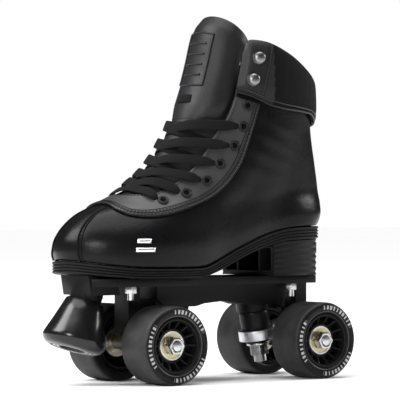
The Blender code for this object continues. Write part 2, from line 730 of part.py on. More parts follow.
def toe_stop():
    """The rubber stop and the bolt that holds it up to the plate's nose."""
    top, up = stop_axis()
    down = -up
    hole = STOP_BOLT_RADIUS + GAP
    wide = STOP_RADIUS
    end = STOP_LENGTH
    recess = end - STOP_RECESS_DEPTH
    groove = STOP_RECESS_RADIUS + 5
    profile = [(hole, 0), (STOP_TOP_RADIUS, 0), (wide, end - 8), (wide, end - 5.5),
               (wide - 2, end - 1.8), (wide - 5, end - 0.4), (groove + 1.5, end),
               (groove + 1, end - 1.2), (groove, end - 1.2), (groove - 0.5, end),
               (STOP_RECESS_RADIUS, end), (STOP_RECESS_RADIUS, recess), (hole, recess)]
    stop = turned("toe_stop", profile, top, down, 28)
    finish_material(stop, GLOSS_BLACK)
    head = recess + GAP
    bolt = hexagon("toe_stop_bolt", top + down * head, top + down * (head + 4.5), 12)
    join(bolt, rod("toe_stop_shank", top + down * (head + 1), top + up * 12, STOP_BOLT_RADIUS, 16))
    finish_material(bolt, BRIGHT_STEEL)
    return [stop, bolt]


def mounting_bolts():
    """Four bolts, each with its head in the sole and its nut under the plate."""
    names = ("front_inner", "front_outer", "rear_inner", "rear_outer")
    bolts = []
    low = DECK_Z - DECK_THICKNESS
    for name, (x, y) in zip(names, bolt_places()):
        bolt = rod("mounting_bolt_" + name, (x, y, BOLT_TIP_Z),
                   (x, y, BOLT_HEAD_Z + BOLT_HEAD_HEIGHT / 2), BOLT_RADIUS, 14)
        join(bolt, rod(name + "_head", (x, y, BOLT_HEAD_Z), (x, y, BOLT_HEAD_Z + BOLT_HEAD_HEIGHT),
                       BOLT_FLATS / 2 + 0.4, 14))
        join(bolt, hexagon(name + "_nut", (x, y, low - GAP - 5), (x, y, low - GAP), BOLT_FLATS))
        finish_material(bolt, BRIGHT_STEEL)
        bolts.append(bolt)
    return bolts


# ---------------------------------------------------------------- sole

def outsole():
    """The ribbed sole under the whole boot."""
    rings = []
    steps = 2 * SOLE_RIB_COUNT
    for i in range(steps + 1):
        offset = 0.4 + (SOLE_RIB if i % 2 else 0)
        ring = []
        for point in sole_outline(offset):
            low = along_line(SOLE_BOTTOM, point.y)
            high = along_line(SOLE_TOP, point.y) - 2 * GAP
            ring.append((point.x, point.y, low + (high - low) * i / steps))
        rings.append(ring)
    sole = loft("outsole", rings)
    for i, (x, y) in enumerate(bolt_places()):
        if y < 0:
            cut(sole, rod(f"sole_bolt_hole_{i}", (x, y, DECK_Z - 3), (x, y, BOLT_HEAD_Z + 1),
                          BOLT_RADIUS + GAP, 14))
            cut(sole, rod(f"sole_counterbore_{i}", (x, y, BOLT_HEAD_Z - GAP), (x, y, 95),
                          BOLT_FLATS / 2 + 0.9, 14))
    finish_material(sole, BLACK_NYLON)
    return sole


def heel_block():
    """The grooved block under the heel, open at the front, with the button's pocket."""
    first = (HEEL_FRONT_Y - FRONT_LINE[0][0]) / (BACK_LINE[0][0] - FRONT_LINE[0][0])
    rings = []
    steps = 2 * HEEL_GROOVE_COUNT
    low = DECK_Z + GAP
    for i in range(steps + 1):
        offset = -HEEL_GROOVE if i % 2 else 0
        ring = []
        for point in sole_outline(offset, first, 14):
            high = along_line(SOLE_BOTTOM, point.y) - 2 * GAP
            ring.append((point.x, point.y, low + (high - low) * i / steps))
        rings.append(ring)
    block = loft("heel_block", rings, from_tip=False)
    roof = along_line(SOLE_BOTTOM, HEEL_FRONT_Y) - 3
    for i, (left, right) in enumerate(((-28, -14.5), (-12.5, 12.5), (14.5, 28))):
        cut(block, box(f"heel_pocket_{i}", (left, HEEL_FRONT_Y - 5, BOLT_HEAD_Z - GAP),
                       (right, AXLE_Y - 4, roof)))
    for i, (x, y) in enumerate(bolt_places()):
        if y > 0:
            cut(block, rod(f"heel_bolt_hole_{i}", (x, y, DECK_Z - 3), (x, y, BOLT_HEAD_Z + 1),
                           BOLT_RADIUS + GAP, 14))
    floor_y = BUTTON_IN_Y - BUTTON_TRAVEL - GAP
    middle = (BUTTON_LOW_Z + BUTTON_HIGH_Z) / 2
    cut(block, box("button_pocket", (-BUTTON_HALF_WIDTH - GAP, floor_y, BUTTON_LOW_Z - GAP),
                   (BUTTON_HALF_WIDTH + GAP, BUTTON_OUT_Y + 5, BUTTON_HIGH_Z + GAP)))
    cut(block, rod("spring_pocket", (0, floor_y - SPRING_DEPTH, middle), (0, floor_y + 2, middle),
                   SPRING_RADIUS + SPRING_WIRE + GAP, 16))
    cut(block, rod("latch_screw_hole", (0, 83.7, 88.5), (0, 100, 88.5), 1.6 + GAP, 12))
    finish_material(block, BLACK_NYLON)
    return block


def heel_button():
    """The sprung button at the heel's back, its spring and the screw below it."""
    button = box("size_button", (-BUTTON_HALF_WIDTH, BUTTON_IN_Y, BUTTON_LOW_Z),
                 (BUTTON_HALF_WIDTH, BUTTON_OUT_Y, BUTTON_HIGH_Z))
    finish_material(button, BLACK_NYLON)
    start = BUTTON_IN_Y - BUTTON_TRAVEL - SPRING_DEPTH + SPRING_WIRE
    end = BUTTON_IN_Y - GAP - SPRING_WIRE
    middle = (BUTTON_LOW_Z + BUTTON_HIGH_Z) / 2
    count = SPRING_TURNS * 10
    coil = []
    for i in range(count + 1):
        turn = 2 * pi * i / 10
        coil.append((SPRING_RADIUS * cos(turn), start + (end - start) * i / count,
                     middle + SPRING_RADIUS * sin(turn)))
    spring = wire("button_spring", coil, SPRING_WIRE, 0)
    finish_material(spring, BRIGHT_STEEL)
    screw = rod("latch_screw", (0, 84, 88.5), (0, 94, 88.5), 1.6, 12)
    join(screw, rod("latch_screw_head", (0, 93.2, 88.5), (0, 95.2, 88.5), 3, 16))
    finish_material(screw, BRIGHT_STEEL)
    return [button, spring, screw]


# ---------------------------------------------------------------- boot

UPPER_LEVELS = [91, 95, 100, 106, 113, 121, 127, 131.5, 135.5, 139, 145, 154, 165, 177, 189,
                202, 216, 233, UPPER_TOP]
FRONT_COLUMNS = 4
SIDE_COLUMNS = 15


def below_rim(level, back):
    """The level moved so that the upper's highest row follows the cuff's rim."""
    top = along_line(CUFF_RIM, back) - RIM_OVERHANG
    over = max(level - UPPER_BEND, 0) / (UPPER_TOP - UPPER_BEND)
    return level + over * (top - UPPER_TOP)


def upper():
    """The boot's shell: closed over the toe, open under the sole, at the throat and the top."""
    bm = bmesh.new()
    rows = []
    for level in UPPER_LEVELS:
        edge = throat_edge(level)
        front = spread(0, edge, FRONT_COLUMNS + 1)[:-1] if level <= THROAT_Z else []
        sides = []
        for side in (1, -1):
            sides.append([boot_point(below_rim(level, back), back, side)
                          for back in spread(edge, 1, SIDE_COLUMNS)])
        near = [boot_point(level, back, 1) for back in front] + sides[0]
        far = [boot_point(level, back, -1) for back in front[1:]] + sides[1][:-1]
        ring = near + far[::-1]
        rows.append([bm.verts.new(point) for point in ring])
    skip = FRONT_COLUMNS
    for lower, higher in zip(rows, rows[1:]):
        open_row = len(higher) < len(lower)
        if open_row:
            lower = lower[skip:len(lower) - skip + 1]
        closed = len(lower) > 2 * SIDE_COLUMNS
        for i in range(len(lower) - (0 if closed else 1)):
            j = (i + 1) % len(lower)
            bm.faces.new((lower[i], lower[j], higher[j], higher[i]))
    obj = sheet_object("upper", bm, 0)
    solidify = obj.modifiers.new("Thickness", "SOLIDIFY")
    solidify.thickness = SHELL * MM
    solidify.offset = -1
    finish_material(obj, BLACK_LEATHER)
    return obj


def facing():
    """The U-shaped eyelet facing that runs round the throat."""
    inner = [(THROAT_Z - 0.7, back) for back in FACING_FRONT]
    inner += [(level, throat_edge(level) + 0.004) for level in FACING_SIDE]
    rows = []
    for side in (1, -1):
        half = []
        for start, end in zip(inner, FACING_OUTER):
            row = []
            for j in range(6):
                mix = j / 5
                row.append(boot_point(start[0] + (end[0] - start[0]) * mix,
                                      start[1] + (end[1] - start[1]) * mix, side))
            half.append(row)
        rows.append(half)
    sheet = rows[1][:0:-1] + rows[0]
    obj = panel("eyestay", sheet, FACING_GAP, FACING_THICKNESS)
    finish_material(obj, BLACK_LEATHER)
    return obj


def eyelet_row(name, side):
    """One row of eyelets on its reinforcement tape."""
    base = FACING_GAP + FACING_THICKNESS + 2 * GAP
    places = [locate(y, z) for y, z in EYELETS]
    knots = [(places[0][0] - 3, places[0][1] - 0.01)] + places
    knots.append((places[-1][0] + 3.5, places[-1][1] + 0.003))
    rows = []
    for start, end in zip(knots, knots[1:]):
        for i in range(2):
            mix = i / 2
            level = start[0] + (end[0] - start[0]) * mix
            back = start[1] + (end[1] - start[1]) * mix
            rows.append((level, back))
    rows.append(knots[-1])
    sheet = []
    for level, back in rows:
        sheet.append([boot_point(level, back + step, side) for step in (-0.022, 0, 0.022)])
    obj = panel(name, sheet, base, TAPE_THICKNESS)
    for i, (level, back) in enumerate(places):
        centre = boot_point(level, back, side)
        out = boot_normal(level, back, side)
        join(obj, rod(f"{name}_ring_{i}", centre + out * (base + 0.2), centre + out * (base + EYELET_RISE),
                      EYELET_RADIUS, 12))
        cut(obj, rod(f"{name}_hole_{i}", centre + out * (base - 1), centre + out * (base + 4),
                     EYELET_HOLE, 8))
    finish_material(obj, GLOSS_BLACK)
    return obj


def cuff():
    """The padded collar round the top of the boot."""
    sheet = []
    count = 13
    for side in (1, -1):
        columns = []
        for back in spread(CUFF_FRONT, 1, count):
            low = along_line(CUFF_LOW, back)
            high = along_line(CUFF_RIM, back)
            columns.append([boot_point(low + (high - low) * i / 6, back, side)
                            for i in range(7)])
        sheet.append(columns)
    rows = sheet[0] + sheet[1][-2::-1]
    obj = panel("cuff", rows, FACING_GAP, CUFF_THICKNESS)
    finish_material(obj, BLACK_TEXTILE)
    return obj


def hook(name, place, side):
    """A speed hook: a riveted base, a neck and a domed head, turned round its own axis."""
    level, back = locate(*place)
    base = FACING_GAP + CUFF_THICKNESS + GAP
    profile = [(0, 0), (4.8, 0), (4.8, 0.9), (2.2, 1.2), (2.2, 3.4), (4.6, 3.8), (4.2, 5.2), (0, 6)]
    out = boot_normal(level, back, side)
    centre = boot_point(level, back, side) + out * base
    obj = turned(name, profile, centre, out, 16)
    finish_material(obj, CAST_METAL)
    return obj


def tongue_point(level, half_width, across):
    """A point on the tongue's front: inside the throat low down, round the shin higher up."""
    x = half_width * across
    factor = breadth(level, 0.1)
    back = (1 - sqrt(1 - min(abs(x) / factor, 0.99) ** 2)) / 2
    side = 1 if x >= 0 else -1
    inner = boot_point(level, back, side)
    inner -= boot_normal(level, max(back, 0.004), side) * (SHELL + TONGUE_CLEARANCE)
    turn = radians(TONGUE_WRAP) * across
    edge = boot_point(level, throat_edge(level))
    front_y = along_line(FRONT_LINE, level, 1)
    drop = TONGUE_DROP * (2 * turn / pi) ** 2 * smooth_step(TONGUE_DROP_START, FRONT_LINE[-1][1], level)
    free = Vector(((edge.x - TONGUE_INSET) * sin(turn),
                   front_y + (edge.y - front_y) * (1 - cos(turn)), level - drop))
    return inner.lerp(free, smooth_step(*TONGUE_EMERGE, level))


def tongue():
    """The padded tongue under the laces, standing up in front of the cuff."""
    rows = []
    for level, half_width in TONGUE_ROWS:
        rows.append([tongue_point(level, half_width, i / 7) for i in range(-7, 8)])
    obj = panel("tongue", rows, 0, -TONGUE_THICKNESS)
    finish_material(obj, BLACK_TEXTILE)
    return obj


def lace_loop():
    """The keeper loop on the tongue's front."""
    rows = []
    for level in (208.5, 210.5, 212.5, 214.5):
        rows.append([tongue_point(level, 30, 0.08 * i) for i in (-2, -1, 0, 1, 2)])
    obj = panel("lace_loop", rows, 0.5, 1.6)
    finish_material(obj, BLACK_TEXTILE)
    return obj


def insole():
    """The footbed board that closes the upper's open bottom."""
    rings = []
    for rise in (0.3, 0.3 + INSOLE_THICKNESS):
        ring = []
        for point in sole_outline(-SHELL - 1.2, 0, 21):
            ring.append((point.x, point.y, along_line(SOLE_TOP, point.y) + rise))
        rings.append(ring)
    obj = loft("insole", rings)
    finish_material(obj, GREY_LINING)
    return obj


def lace():
    """One lace: a bar across the lowest eyelets, then crossed strands up to the sixth pair."""
    rise = FACING_GAP + FACING_THICKNESS + 2 * GAP + EYELET_RISE + 4 * GAP + LACE_RADIUS
    eyelets = EYELETS[:LACED_ROWS]
    levels = [locate(y, z)[0] for y, z in eyelets]
    widths = [boot_point(*locate(y, z)).x for y, z in eyelets]
    crests = [lace_crest(y, z) for y, z in eyelets]
    places = list(zip(levels, widths, crests))

    def strand_point(start, end, side, mix, middle):
        x = side * (start[1] - (end[1] + start[1]) * mix)
        bow = 1 - (2 * mix - 1) ** 2
        level = start[0] + (end[0] - start[0]) * mix
        crest = start[2] + (end[2] - start[2]) * mix
        level += (crest - level) * bow
        way = 1 if x >= 0 else -1
        back = back_at(level, x)
        height = middle + (rise - middle) * (2 * abs(mix - 0.5)) ** 2
        return boot_point(level, back, way) + boot_normal(level, max(back, 0.004), way) * height

    def climb(side, middle):
        points = []
        for i, (start, end) in enumerate(zip(places, places[1:])):
            way = side if i % 2 == 0 else -side
            points += [strand_point(start, end, way, j / 6, middle) for j in range(6)]
        last_way = -side if LACED_ROWS % 2 == 0 else side
        points.append(strand_point(places[-1], places[-1], last_way, 0, middle))
        return points

    over = climb(1, 2.2 + 2 * LACE_RADIUS + 0.5)
    under = climb(-1, 2.2)
    bar = [strand_point(places[0], places[0], 1, j / 6, 2.5) for j in range(1, 6)]
    obj = wire("lace", over[::-1] + bar + under, LACE_RADIUS, 2)
    finish_material(obj, BLACK_TEXTILE)
    return obj


# ---------------------------------------------------------------- assembly

def empty_at(name, place, parent):
    """An empty on a joint's axis, which carries the pieces that move round it."""
    empty = bpy.data.objects.new(name, None)
    empty.location = Vector(place) * MM
    PARTS.objects.link(empty)
    if parent:
        empty.parent = parent
        empty.location = Vector(place) * MM - parent.location
        if parent.parent:
            empty.location -= parent.parent.location
    return empty


def carry(parent, pieces, place=(0, 0, 0)):
    """Parent pieces to an empty, keeping where they are."""
    for piece in pieces:
        piece.data.transform(Matrix.Translation(-Vector(place) * MM))
        for modifier in piece.modifiers:
            if modifier.type == "BOOLEAN":
                modifier.object.data.transform(Matrix.Translation(-Vector(place) * MM))
        piece.parent = parent


def bounds(objects):
    """The lowest and highest corners of the evaluated parts."""
    bpy.context.view_layer.update()
    graph = bpy.context.evaluated_depsgraph_get()
    corners = []
    for obj in objects:
        if obj.type == "MESH":
            solid = obj.evaluated_get(graph)
            corners += [solid.matrix_world @ Vector(corner) for corner in solid.bound_box]
    low = Vector([min(corner[i] for corner in corners) for i in range(3)])
    high = Vector([max(corner[i] for corner in corners) for i in range(3)])
    return low, high


def main():
    root = empty_at("skate", (0, 0, 0), None)
    trucks = [("front", TruckFrame(-1)), ("rear", TruckFrame(1))]
    fixed = [plate(trucks), outsole(), heel_block(), upper(), facing(), cuff(), tongue(), insole()]
    fixed += [lace_loop(), lace()]
    fixed += toe_stop()
    fixed += mounting_bolts()
    for side, side_name in ((1, "outer"), (-1, "inner")):
        fixed.append(eyelet_row("eyelets_" + side_name, side))
        for place, height_name in zip(HOOKS, ("lower", "upper")):
            fixed.append(hook(f"{height_name}_hook_{side_name}", place, side))
    button, spring, screw = heel_button()
    fixed += [spring, screw]
    for name, place in trucks:
        steering, still = truck(name + "_truck", place)
        fixed += still
        pivot = empty_at(name + "_steer_axis", place.ring, root)
        for side, side_name in ((1, "outer"), (-1, "inner")):
            centre = place.axle + Vector((side * TRACK / 2, 0, 0))
            spinning, nut = wheel(f"{name}_{side_name}", centre, side)
            steering.append(nut)
            spin = empty_at(f"{name}_{side_name}_spin_axis", centre, pivot)
            carry(spin, spinning, centre)
        carry(pivot, steering, place.ring)
    carry(root, fixed)
    press = empty_at("button_axis", (0, BUTTON_IN_Y, BUTTON_LOW_Z), root)
    carry(press, [button], (0, BUTTON_IN_Y, BUTTON_LOW_Z))
    low, high = bounds(PARTS.objects)
    root.location = (-(low.x + high.x) / 2, -(low.y + high.y) / 2, -low.z)


PARTS, CUTTERS = empty_scene()
main()
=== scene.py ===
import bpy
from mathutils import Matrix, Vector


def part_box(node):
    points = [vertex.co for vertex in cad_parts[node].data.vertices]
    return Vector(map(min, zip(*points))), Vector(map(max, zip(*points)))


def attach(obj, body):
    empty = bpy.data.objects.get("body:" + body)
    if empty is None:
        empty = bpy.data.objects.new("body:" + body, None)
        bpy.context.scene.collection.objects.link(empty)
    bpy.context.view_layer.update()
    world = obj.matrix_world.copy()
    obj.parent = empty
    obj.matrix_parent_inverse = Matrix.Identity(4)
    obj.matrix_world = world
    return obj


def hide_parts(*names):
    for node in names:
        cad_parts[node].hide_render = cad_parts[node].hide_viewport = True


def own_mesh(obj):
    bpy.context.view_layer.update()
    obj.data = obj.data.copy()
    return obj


bl_info = {
    "name": "Quad Roller Skate",
    "version": (1, 0, 0),
    "blender": (4, 5, 0),
    "location": "View3D > Sidebar > Skate",
    "description": "Builds the soft goods, wheels and finishes of a quad roller skate",
    "category": "Add Mesh",
}

from contextlib import contextmanager
from math import asin, cos, pi, radians, sin, sqrt

import bmesh
import bpy
from bpy.props import FloatProperty, FloatVectorProperty, IntProperty, PointerProperty
from mathutils import Matrix, Vector

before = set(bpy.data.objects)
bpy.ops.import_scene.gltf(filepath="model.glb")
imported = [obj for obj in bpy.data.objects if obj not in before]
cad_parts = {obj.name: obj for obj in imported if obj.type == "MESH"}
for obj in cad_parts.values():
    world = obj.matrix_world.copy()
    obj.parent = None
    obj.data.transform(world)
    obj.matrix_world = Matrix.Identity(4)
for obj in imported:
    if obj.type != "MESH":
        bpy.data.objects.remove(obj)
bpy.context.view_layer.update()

MM = 0.001
BOOT = "boot_and_plate"


def middle_of(node):
    """The centre of a CAD node's box, in millimetres."""
    low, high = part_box(node)
    return (Vector(low) + Vector(high)) / 2 / MM


def size_of(node):
    """The size of a CAD node's box, in millimetres."""
    low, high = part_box(node)
    return (Vector(high) - Vector(low)) / MM


WHEELS = {name: middle_of(name + "_tyre") for name in
          ("front_outer", "front_inner", "rear_outer", "rear_inner")}
WHEEL_RADIUS = size_of("front_outer_tyre").z / 2
WHEEL_WIDTH = size_of("front_outer_tyre").x
RIM_RADIUS = size_of("front_outer_hub").z / 2
BEARING_RADIUS = size_of("front_outer_bearings").z / 2
BEARING_SPREAD = size_of("front_outer_bearings").x
AXLE_RADIUS = size_of("front_truck_axle").z / 2
MID_Y = (WHEELS["front_outer"].y + WHEELS["rear_outer"].y) / 2
AXLE_Y = (WHEELS["rear_outer"].y - WHEELS["front_outer"].y) / 2


# ------------------------------------------------------------------ the boot's shape
# Lines in the side view as (y, z), in millimetres, with y from midway between the axles.

FRONT_LINE = [(-133.5, 91), (-136, 97), (-135.5, 104), (-132, 112), (-126, 119), (-118, 125),
              (-108, 129.5), (-97, 133.5), (-85, 139), (-73, 147), (-62, 156), (-52, 166.5),
              (-44, 178), (-37, 189), (-31, 201), (-26, 213), (-21, 226), (-17, 239), (-12, 258),
              (-9, 266), (-3, 276)]
BACK_LINE = [(92.5, 116), (96, 121), (98, 128), (98, 134), (97, 141), (95.5, 150), (93, 163),
             (90, 178), (88, 192), (87, 205), (86, 218), (85, 230), (84, 240)]
SOLE_TOP = [(-137, 91.5), (-110, 87.5), (-90, 85.9), (-40, 85.5), (-17, 92.5), (-4, 98.3),
            (9, 103.4), (21, 107.8), (34, 111.5), (48, 114.4), (70, 115.6), (95, 116.1)]
SOLE_BOTTOM = [(-137, 82.3), (-110, 79.5), (-90, 78.3), (-42, 78.3), (-28, 81), (-17, 84.2),
               (-4, 89.8), (9, 95), (21, 98.7), (34, 102.2), (48, 105), (95, 106.8)]
TOE_Z = 91.0
HEEL_Z = 116.0
BACK_RISE = 0.7246
TOE_SHIFT = 6.5
BREADTH_PLACES = [0, 0.13, 0.25, 0.4, 0.55, 0.7, 0.85, 0.95]
BREADTHS = [(91, [60, 56.5, 52, 44, 36.2, 36, 46, 57]),
            (104, [56, 55.5, 53, 45.5, 37.8, 37.4, 46, 55]),
            (134, [40, 41, 42, 39.5, 36.5, 36.5, 40.5, 44]),
            (190, [33, 34, 35, 37, 38, 38, 38, 38])]
THROAT_Z = 139.0
THROAT_EDGE = [(139, 0.1), (153, 0.13), (187, 0.17), (209, 0.22), (219, 0.213), (235, 0.208),
               (258, 0.208)]
FACING_FRONT = [0.0, 0.006, 0.023, 0.05, 0.08]
FACING_SIDE = [142, 148, 156, 165, 175, 186, 199, 215.5]
FACING_OUTER = [(132.5, 0), (131.8, 0.008), (130.2, 0.028), (127.5, 0.065), (124.5, 0.115),
                (123.2, 0.18), (125, 0.25), (131, 0.312), (142, 0.352), (157, 0.368),
                (175, 0.373), (193, 0.377), (211, 0.385)]
EYELETS = [(-67, 134), (-48.5, 139.8), (-31.3, 149.5), (-18.6, 162.3), (-5.4, 175.8),
           (3.5, 190.6), (7.8, 206.5)]
LACED_ROWS = 6
LACE_RISE = [(134, 0.9), (150, 0.5), (190, 0.35)]
HOOKS = [(12, 225.4), (16.7, 242)]
CUFF_FRONT = 0.212
CUFF_LOW = [(0.19, 218), (0.28, 216.3), (0.385, 212.4), (0.46, 209), (0.6, 207.2), (0.83, 207),
            (0.92, 203), (1, 195)]
CUFF_RIM = [(0.21, 256.5), (0.222, 260), (0.24, 262.5), (0.36, 264), (0.57, 260), (0.85, 250),
            (1, 246)]
UPPER_TOP = 258.0
UPPER_BEND = 225.0
TONGUE_ROWS = [(135, 22), (142, 26), (152, 28), (165, 28.5), (178, 29.5), (187, 30), (276, 30)]
TONGUE_WRAP = 105
TONGUE_INSET = 3.0
TONGUE_DROP = 17.0
TONGUE_TOP = 276.0
TONGUE_THICKNESS = 6.0
SHELL = 2.2
FACING_LIFT = 0.6
FACING_THICKNESS = 1.3
CUFF_THICKNESS = 4.5


def along_line(table, value, key=0):
    """Read a table of pairs smoothly and without overshoot: key 1 looks up the second column."""
    pairs = [(row[key], row[1 - key]) for row in table]
    value = min(max(value, pairs[0][0]), pairs[-1][0])
    slopes = [(b[1] - a[1]) / (b[0] - a[0]) for a, b in zip(pairs, pairs[1:])]
    i = max(n for n in range(len(slopes)) if pairs[n][0] <= value)
    (start, low), (end, high) = pairs[i], pairs[i + 1]
    span = end - start
    t = (value - start) / span

    def knot_slope(before, after):
        return 2 * before * after / (before + after) * span if before * after > 0 else 0

    slope_start = knot_slope(slopes[max(i - 1, 0)], slopes[i])
    slope_end = knot_slope(slopes[i], slopes[min(i + 1, len(slopes) - 1)])
    return ((2 * t ** 3 - 3 * t ** 2 + 1) * low + (t ** 3 - 2 * t ** 2 + t) * slope_start
            + (3 * t ** 2 - 2 * t ** 3) * high + (t ** 3 - t ** 2) * slope_end)


def smooth_step(low, high, value):
    """Go smoothly from 0 at low to 1 at high."""
    t = min(max((value - low) / (high - low), 0), 1)
    return t * t * (3 - 2 * t)


def back_height(level):
    """The height at the heel of the row that starts at level on the front line."""
    return HEEL_Z + BACK_RISE * (level - TOE_Z)


def breadth(level, back):
    """The boot's half-breadth factor at a level and a fraction of the way back."""
    heights = [height for height, _ in BREADTHS]
    at_place = [along_line(list(zip(BREADTH_PLACES, values)), back) for _, values in BREADTHS]
    return along_line(list(zip(heights, at_place)), level)


def boot_point(level, back, side=1):
    """A point on the boot's outside: level is the front line's height, back runs from 0 to 1."""
    front_y = along_line(FRONT_LINE, level, 1)
    back_y = along_line(BACK_LINE, back_height(level), 1)
    y = front_y + back * (back_y - front_y)
    x = side * 2 * sqrt(max(back * (1 - back), 0)) * breadth(level, back)
    fade = max(1 - (level - TOE_Z) / 59, 0) ** 1.5
    shift = TOE_SHIFT * (1 - back) ** 2 * fade ** 0.5
    sole_y = FRONT_LINE[0][0] * (1 - back) + BACK_LINE[0][0] * back
    dip = along_line(SOLE_TOP, sole_y) - (TOE_Z + back * (HEEL_Z - TOE_Z))
    z = level + back * (back_height(level) - level) + dip * fade
    return Vector((x - shift, y, z))


def boot_normal(level, back, side=1):
    """The outward direction at a boot point."""
    back = max(back, 0.004)
    along = (boot_point(level, min(back + 0.01, 1), side)
             - boot_point(level, max(back - 0.01, 0.002), side))
    up = boot_point(level + 1, back, side) - boot_point(level - 1, back, side)
    normal = along.cross(up).normalized()
    point = boot_point(level, back, side)
    core = boot_point(level, 0.5)
    core.x = 0
    return normal if normal.dot(point - core) > 0 else -normal


def over_boot(level, back, side, height):
    """A place above the boot's surface."""
    return boot_point(level, back, side) + boot_normal(level, back, side) * height


def locate(y, z):
    """The level and the fraction back of a side-view point."""
    level = z
    back = 0.2
    for _ in range(30):
        front_y = along_line(FRONT_LINE, level, 1)
        back_y = along_line(BACK_LINE, back_height(level), 1)
        back = min(max((y - front_y) / (back_y - front_y), 0), 1)
        level += z - boot_point(level, back).z
    return level, back


def back_at(level, x):
    """The fraction back of the boot point x off the centre, on its front half."""
    back = 0.05
    for _ in range(12):
        half = min(abs(x) / breadth(level, back), 0.99)
        back = (1 - sqrt(1 - half * half)) / 2
    return back


def nearest_front(y, z):
    """The height of the front-line point that is nearest to a side-view point."""
    def distance(height):
        return (along_line(FRONT_LINE, height, 1) - y) ** 2 + (height - z) ** 2
    return min((120 + 0.5 * n for n in range(260)), key=distance)


def throat_edge(level):
    """The fraction back at which the throat's edge stands."""
    return along_line(THROAT_EDGE, max(level, THROAT_Z))


def lace_crest(y, z):
    """The height at which a lace that leaves an eyelet crosses the front line."""
    return z + along_line(LACE_RISE, z) * (nearest_front(y, z) - z)


def below_rim(level, back):
    """The level moved so that the shell's highest row stays hidden behind the cuff."""
    over = max(level - UPPER_BEND, 0) / (UPPER_TOP - UPPER_BEND)
    return level + over * (along_line(CUFF_RIM, back) - 6 - UPPER_TOP)


def spread(start, end, count):
    """Evenly turned fractions from start to end, so that a ring's points are even."""
    first = 2 * asin(sqrt(start))
    last = 2 * asin(sqrt(end))
    return [(1 - cos(first + (last - first) * i / (count - 1))) / 2 for i in range(count)]


def blend_points(rows, count):
    """More points through a list of tuples, on a smooth curve."""
    found = []
    for n in range(count):
        place = (len(rows) - 1) * n / (count - 1)
        i = min(int(place), len(rows) - 2)
        t = place - i
        before, start = rows[max(i - 1, 0)], rows[i]
        end, after = rows[i + 1], rows[min(i + 2, len(rows) - 1)]
        found.append(tuple(0.5 * (2 * b + (c - a) * t + (2 * a - 5 * b + 4 * c - d) * t * t
                                  + (3 * b - a - 3 * c + d) * t ** 3)
                           for a, b, c, d in zip(before, start, end, after)))
    return found


# ------------------------------------------------------------------ mesh helpers

FOOT_CORE = (0, 20, 150)
SWELL_FRAMES = 20


def world_place(point):
    """From millimetres midway between the axles to metres in the frame."""
    return Vector((point[0] * MM, (point[1] + MID_Y) * MM, point[2] * MM))


def linked(name, data):
    """A new object in the scene for a mesh, a curve, a light or a camera."""
    thing = bpy.data.objects.new(name, data)
    bpy.context.scene.collection.objects.link(thing)
    return thing


@contextmanager
def editing(mesh):
    """Open a mesh for editing, and write it back."""
    bm = bmesh.new()
    bm.from_mesh(mesh)
    yield bm
    bm.to_mesh(mesh)
    bm.free()


def make_piece(name, points, faces, uvs=None):
    """A smooth mesh piece through points in millimetres, with an optional UV for each point."""
    mesh = bpy.data.meshes.new(name)
    mesh.from_pydata([world_place(point) for point in points], [], faces)
    if uvs:
        layer = mesh.uv_layers.new(name="Weave")
        for loop in mesh.loops:
            layer.data[loop.index].uv = uvs[loop.vertex_index]
    mesh.polygons.foreach_set("use_smooth", [True] * len(mesh.polygons))
    return linked(name, mesh)


def tidy_mesh(piece):
    """Merge doubled points and face the surface outwards."""
    with editing(piece.data) as bm:
        bmesh.ops.remove_doubles(bm, verts=bm.verts, dist=1e-6)
        bmesh.ops.recalc_face_normals(bm, faces=bm.faces)


def join_meshes(name, pieces):
    """Make one piece of several, keeping their places and materials."""
    bm = bmesh.new()
    materials = []
    for piece in pieces:
        start = len(bm.faces)
        bm.from_mesh(piece.data)
        bm.faces.ensure_lookup_table()
        offset = len(materials)
        materials += list(piece.data.materials)
        for face in bm.faces[start:]:
            face.material_index += offset
    mesh = bpy.data.meshes.new(name)
    bm.to_mesh(mesh)
    bm.free()
    for material in materials:
        mesh.materials.append(material)
    for piece in pieces:
        bpy.data.objects.remove(piece, do_unlink=True)
    return linked(name, mesh)


def evaluated_mesh(source):
    """The mesh that an object's modifiers or its curve make."""
    bpy.context.view_layer.update()
    graph = bpy.context.evaluated_depsgraph_get()
    return bpy.data.meshes.new_from_object(source.evaluated_get(graph), depsgraph=graph)


def apply_all(piece):
    """Replace a piece's mesh by what its modifiers make of it."""
    mesh = evaluated_mesh(piece)
    piece.modifiers.clear()
    piece.data = mesh


def inflate(piece, held, limit):
    """Swell a stuffed piece by simulating cloth under pressure, held along its seams."""
    group = piece.vertex_groups.new(name="Held")
    for index, weight in enumerate(held):
        group.add([index], weight, "REPLACE")
    cloth = piece.modifiers.new("Cloth", "CLOTH")
    cloth.settings.quality = 5
    cloth.settings.use_pressure = True
    cloth.settings.uniform_pressure_force = 4
    cloth.settings.vertex_group_mass = "Held"
    cloth.settings.effector_weights.gravity = 0
    cloth.collision_settings.use_collision = False
    cloth.point_cache.frame_end = SWELL_FRAMES
    for number in range(1, SWELL_FRAMES + 1):
        bpy.context.scene.frame_set(number)
    swollen = evaluated_mesh(piece)
    piece.modifiers.clear()
    piece.vertex_groups.clear()
    for vertex, moved in zip(piece.data.vertices, swollen.vertices):
        shift = moved.co - vertex.co
        vertex.co += shift * min(limit * MM / max(shift.length, 1e-9), 1)
    bpy.data.meshes.remove(swollen)
    bpy.context.scene.frame_set(1)


def subdivide(piece):
    """Halve every edge and smooth the surface."""
    modifier = piece.modifiers.new("Subdivision", "SUBSURF")
    modifier.levels = 1
    modifier.render_levels = 1


def thicken(piece, thickness, outwards=True):
    """Give a sheet its wall."""
    modifier = piece.modifiers.new("Thickness", "SOLIDIFY")
    modifier.thickness = thickness * MM
    modifier.offset = 1 if outwards else -1


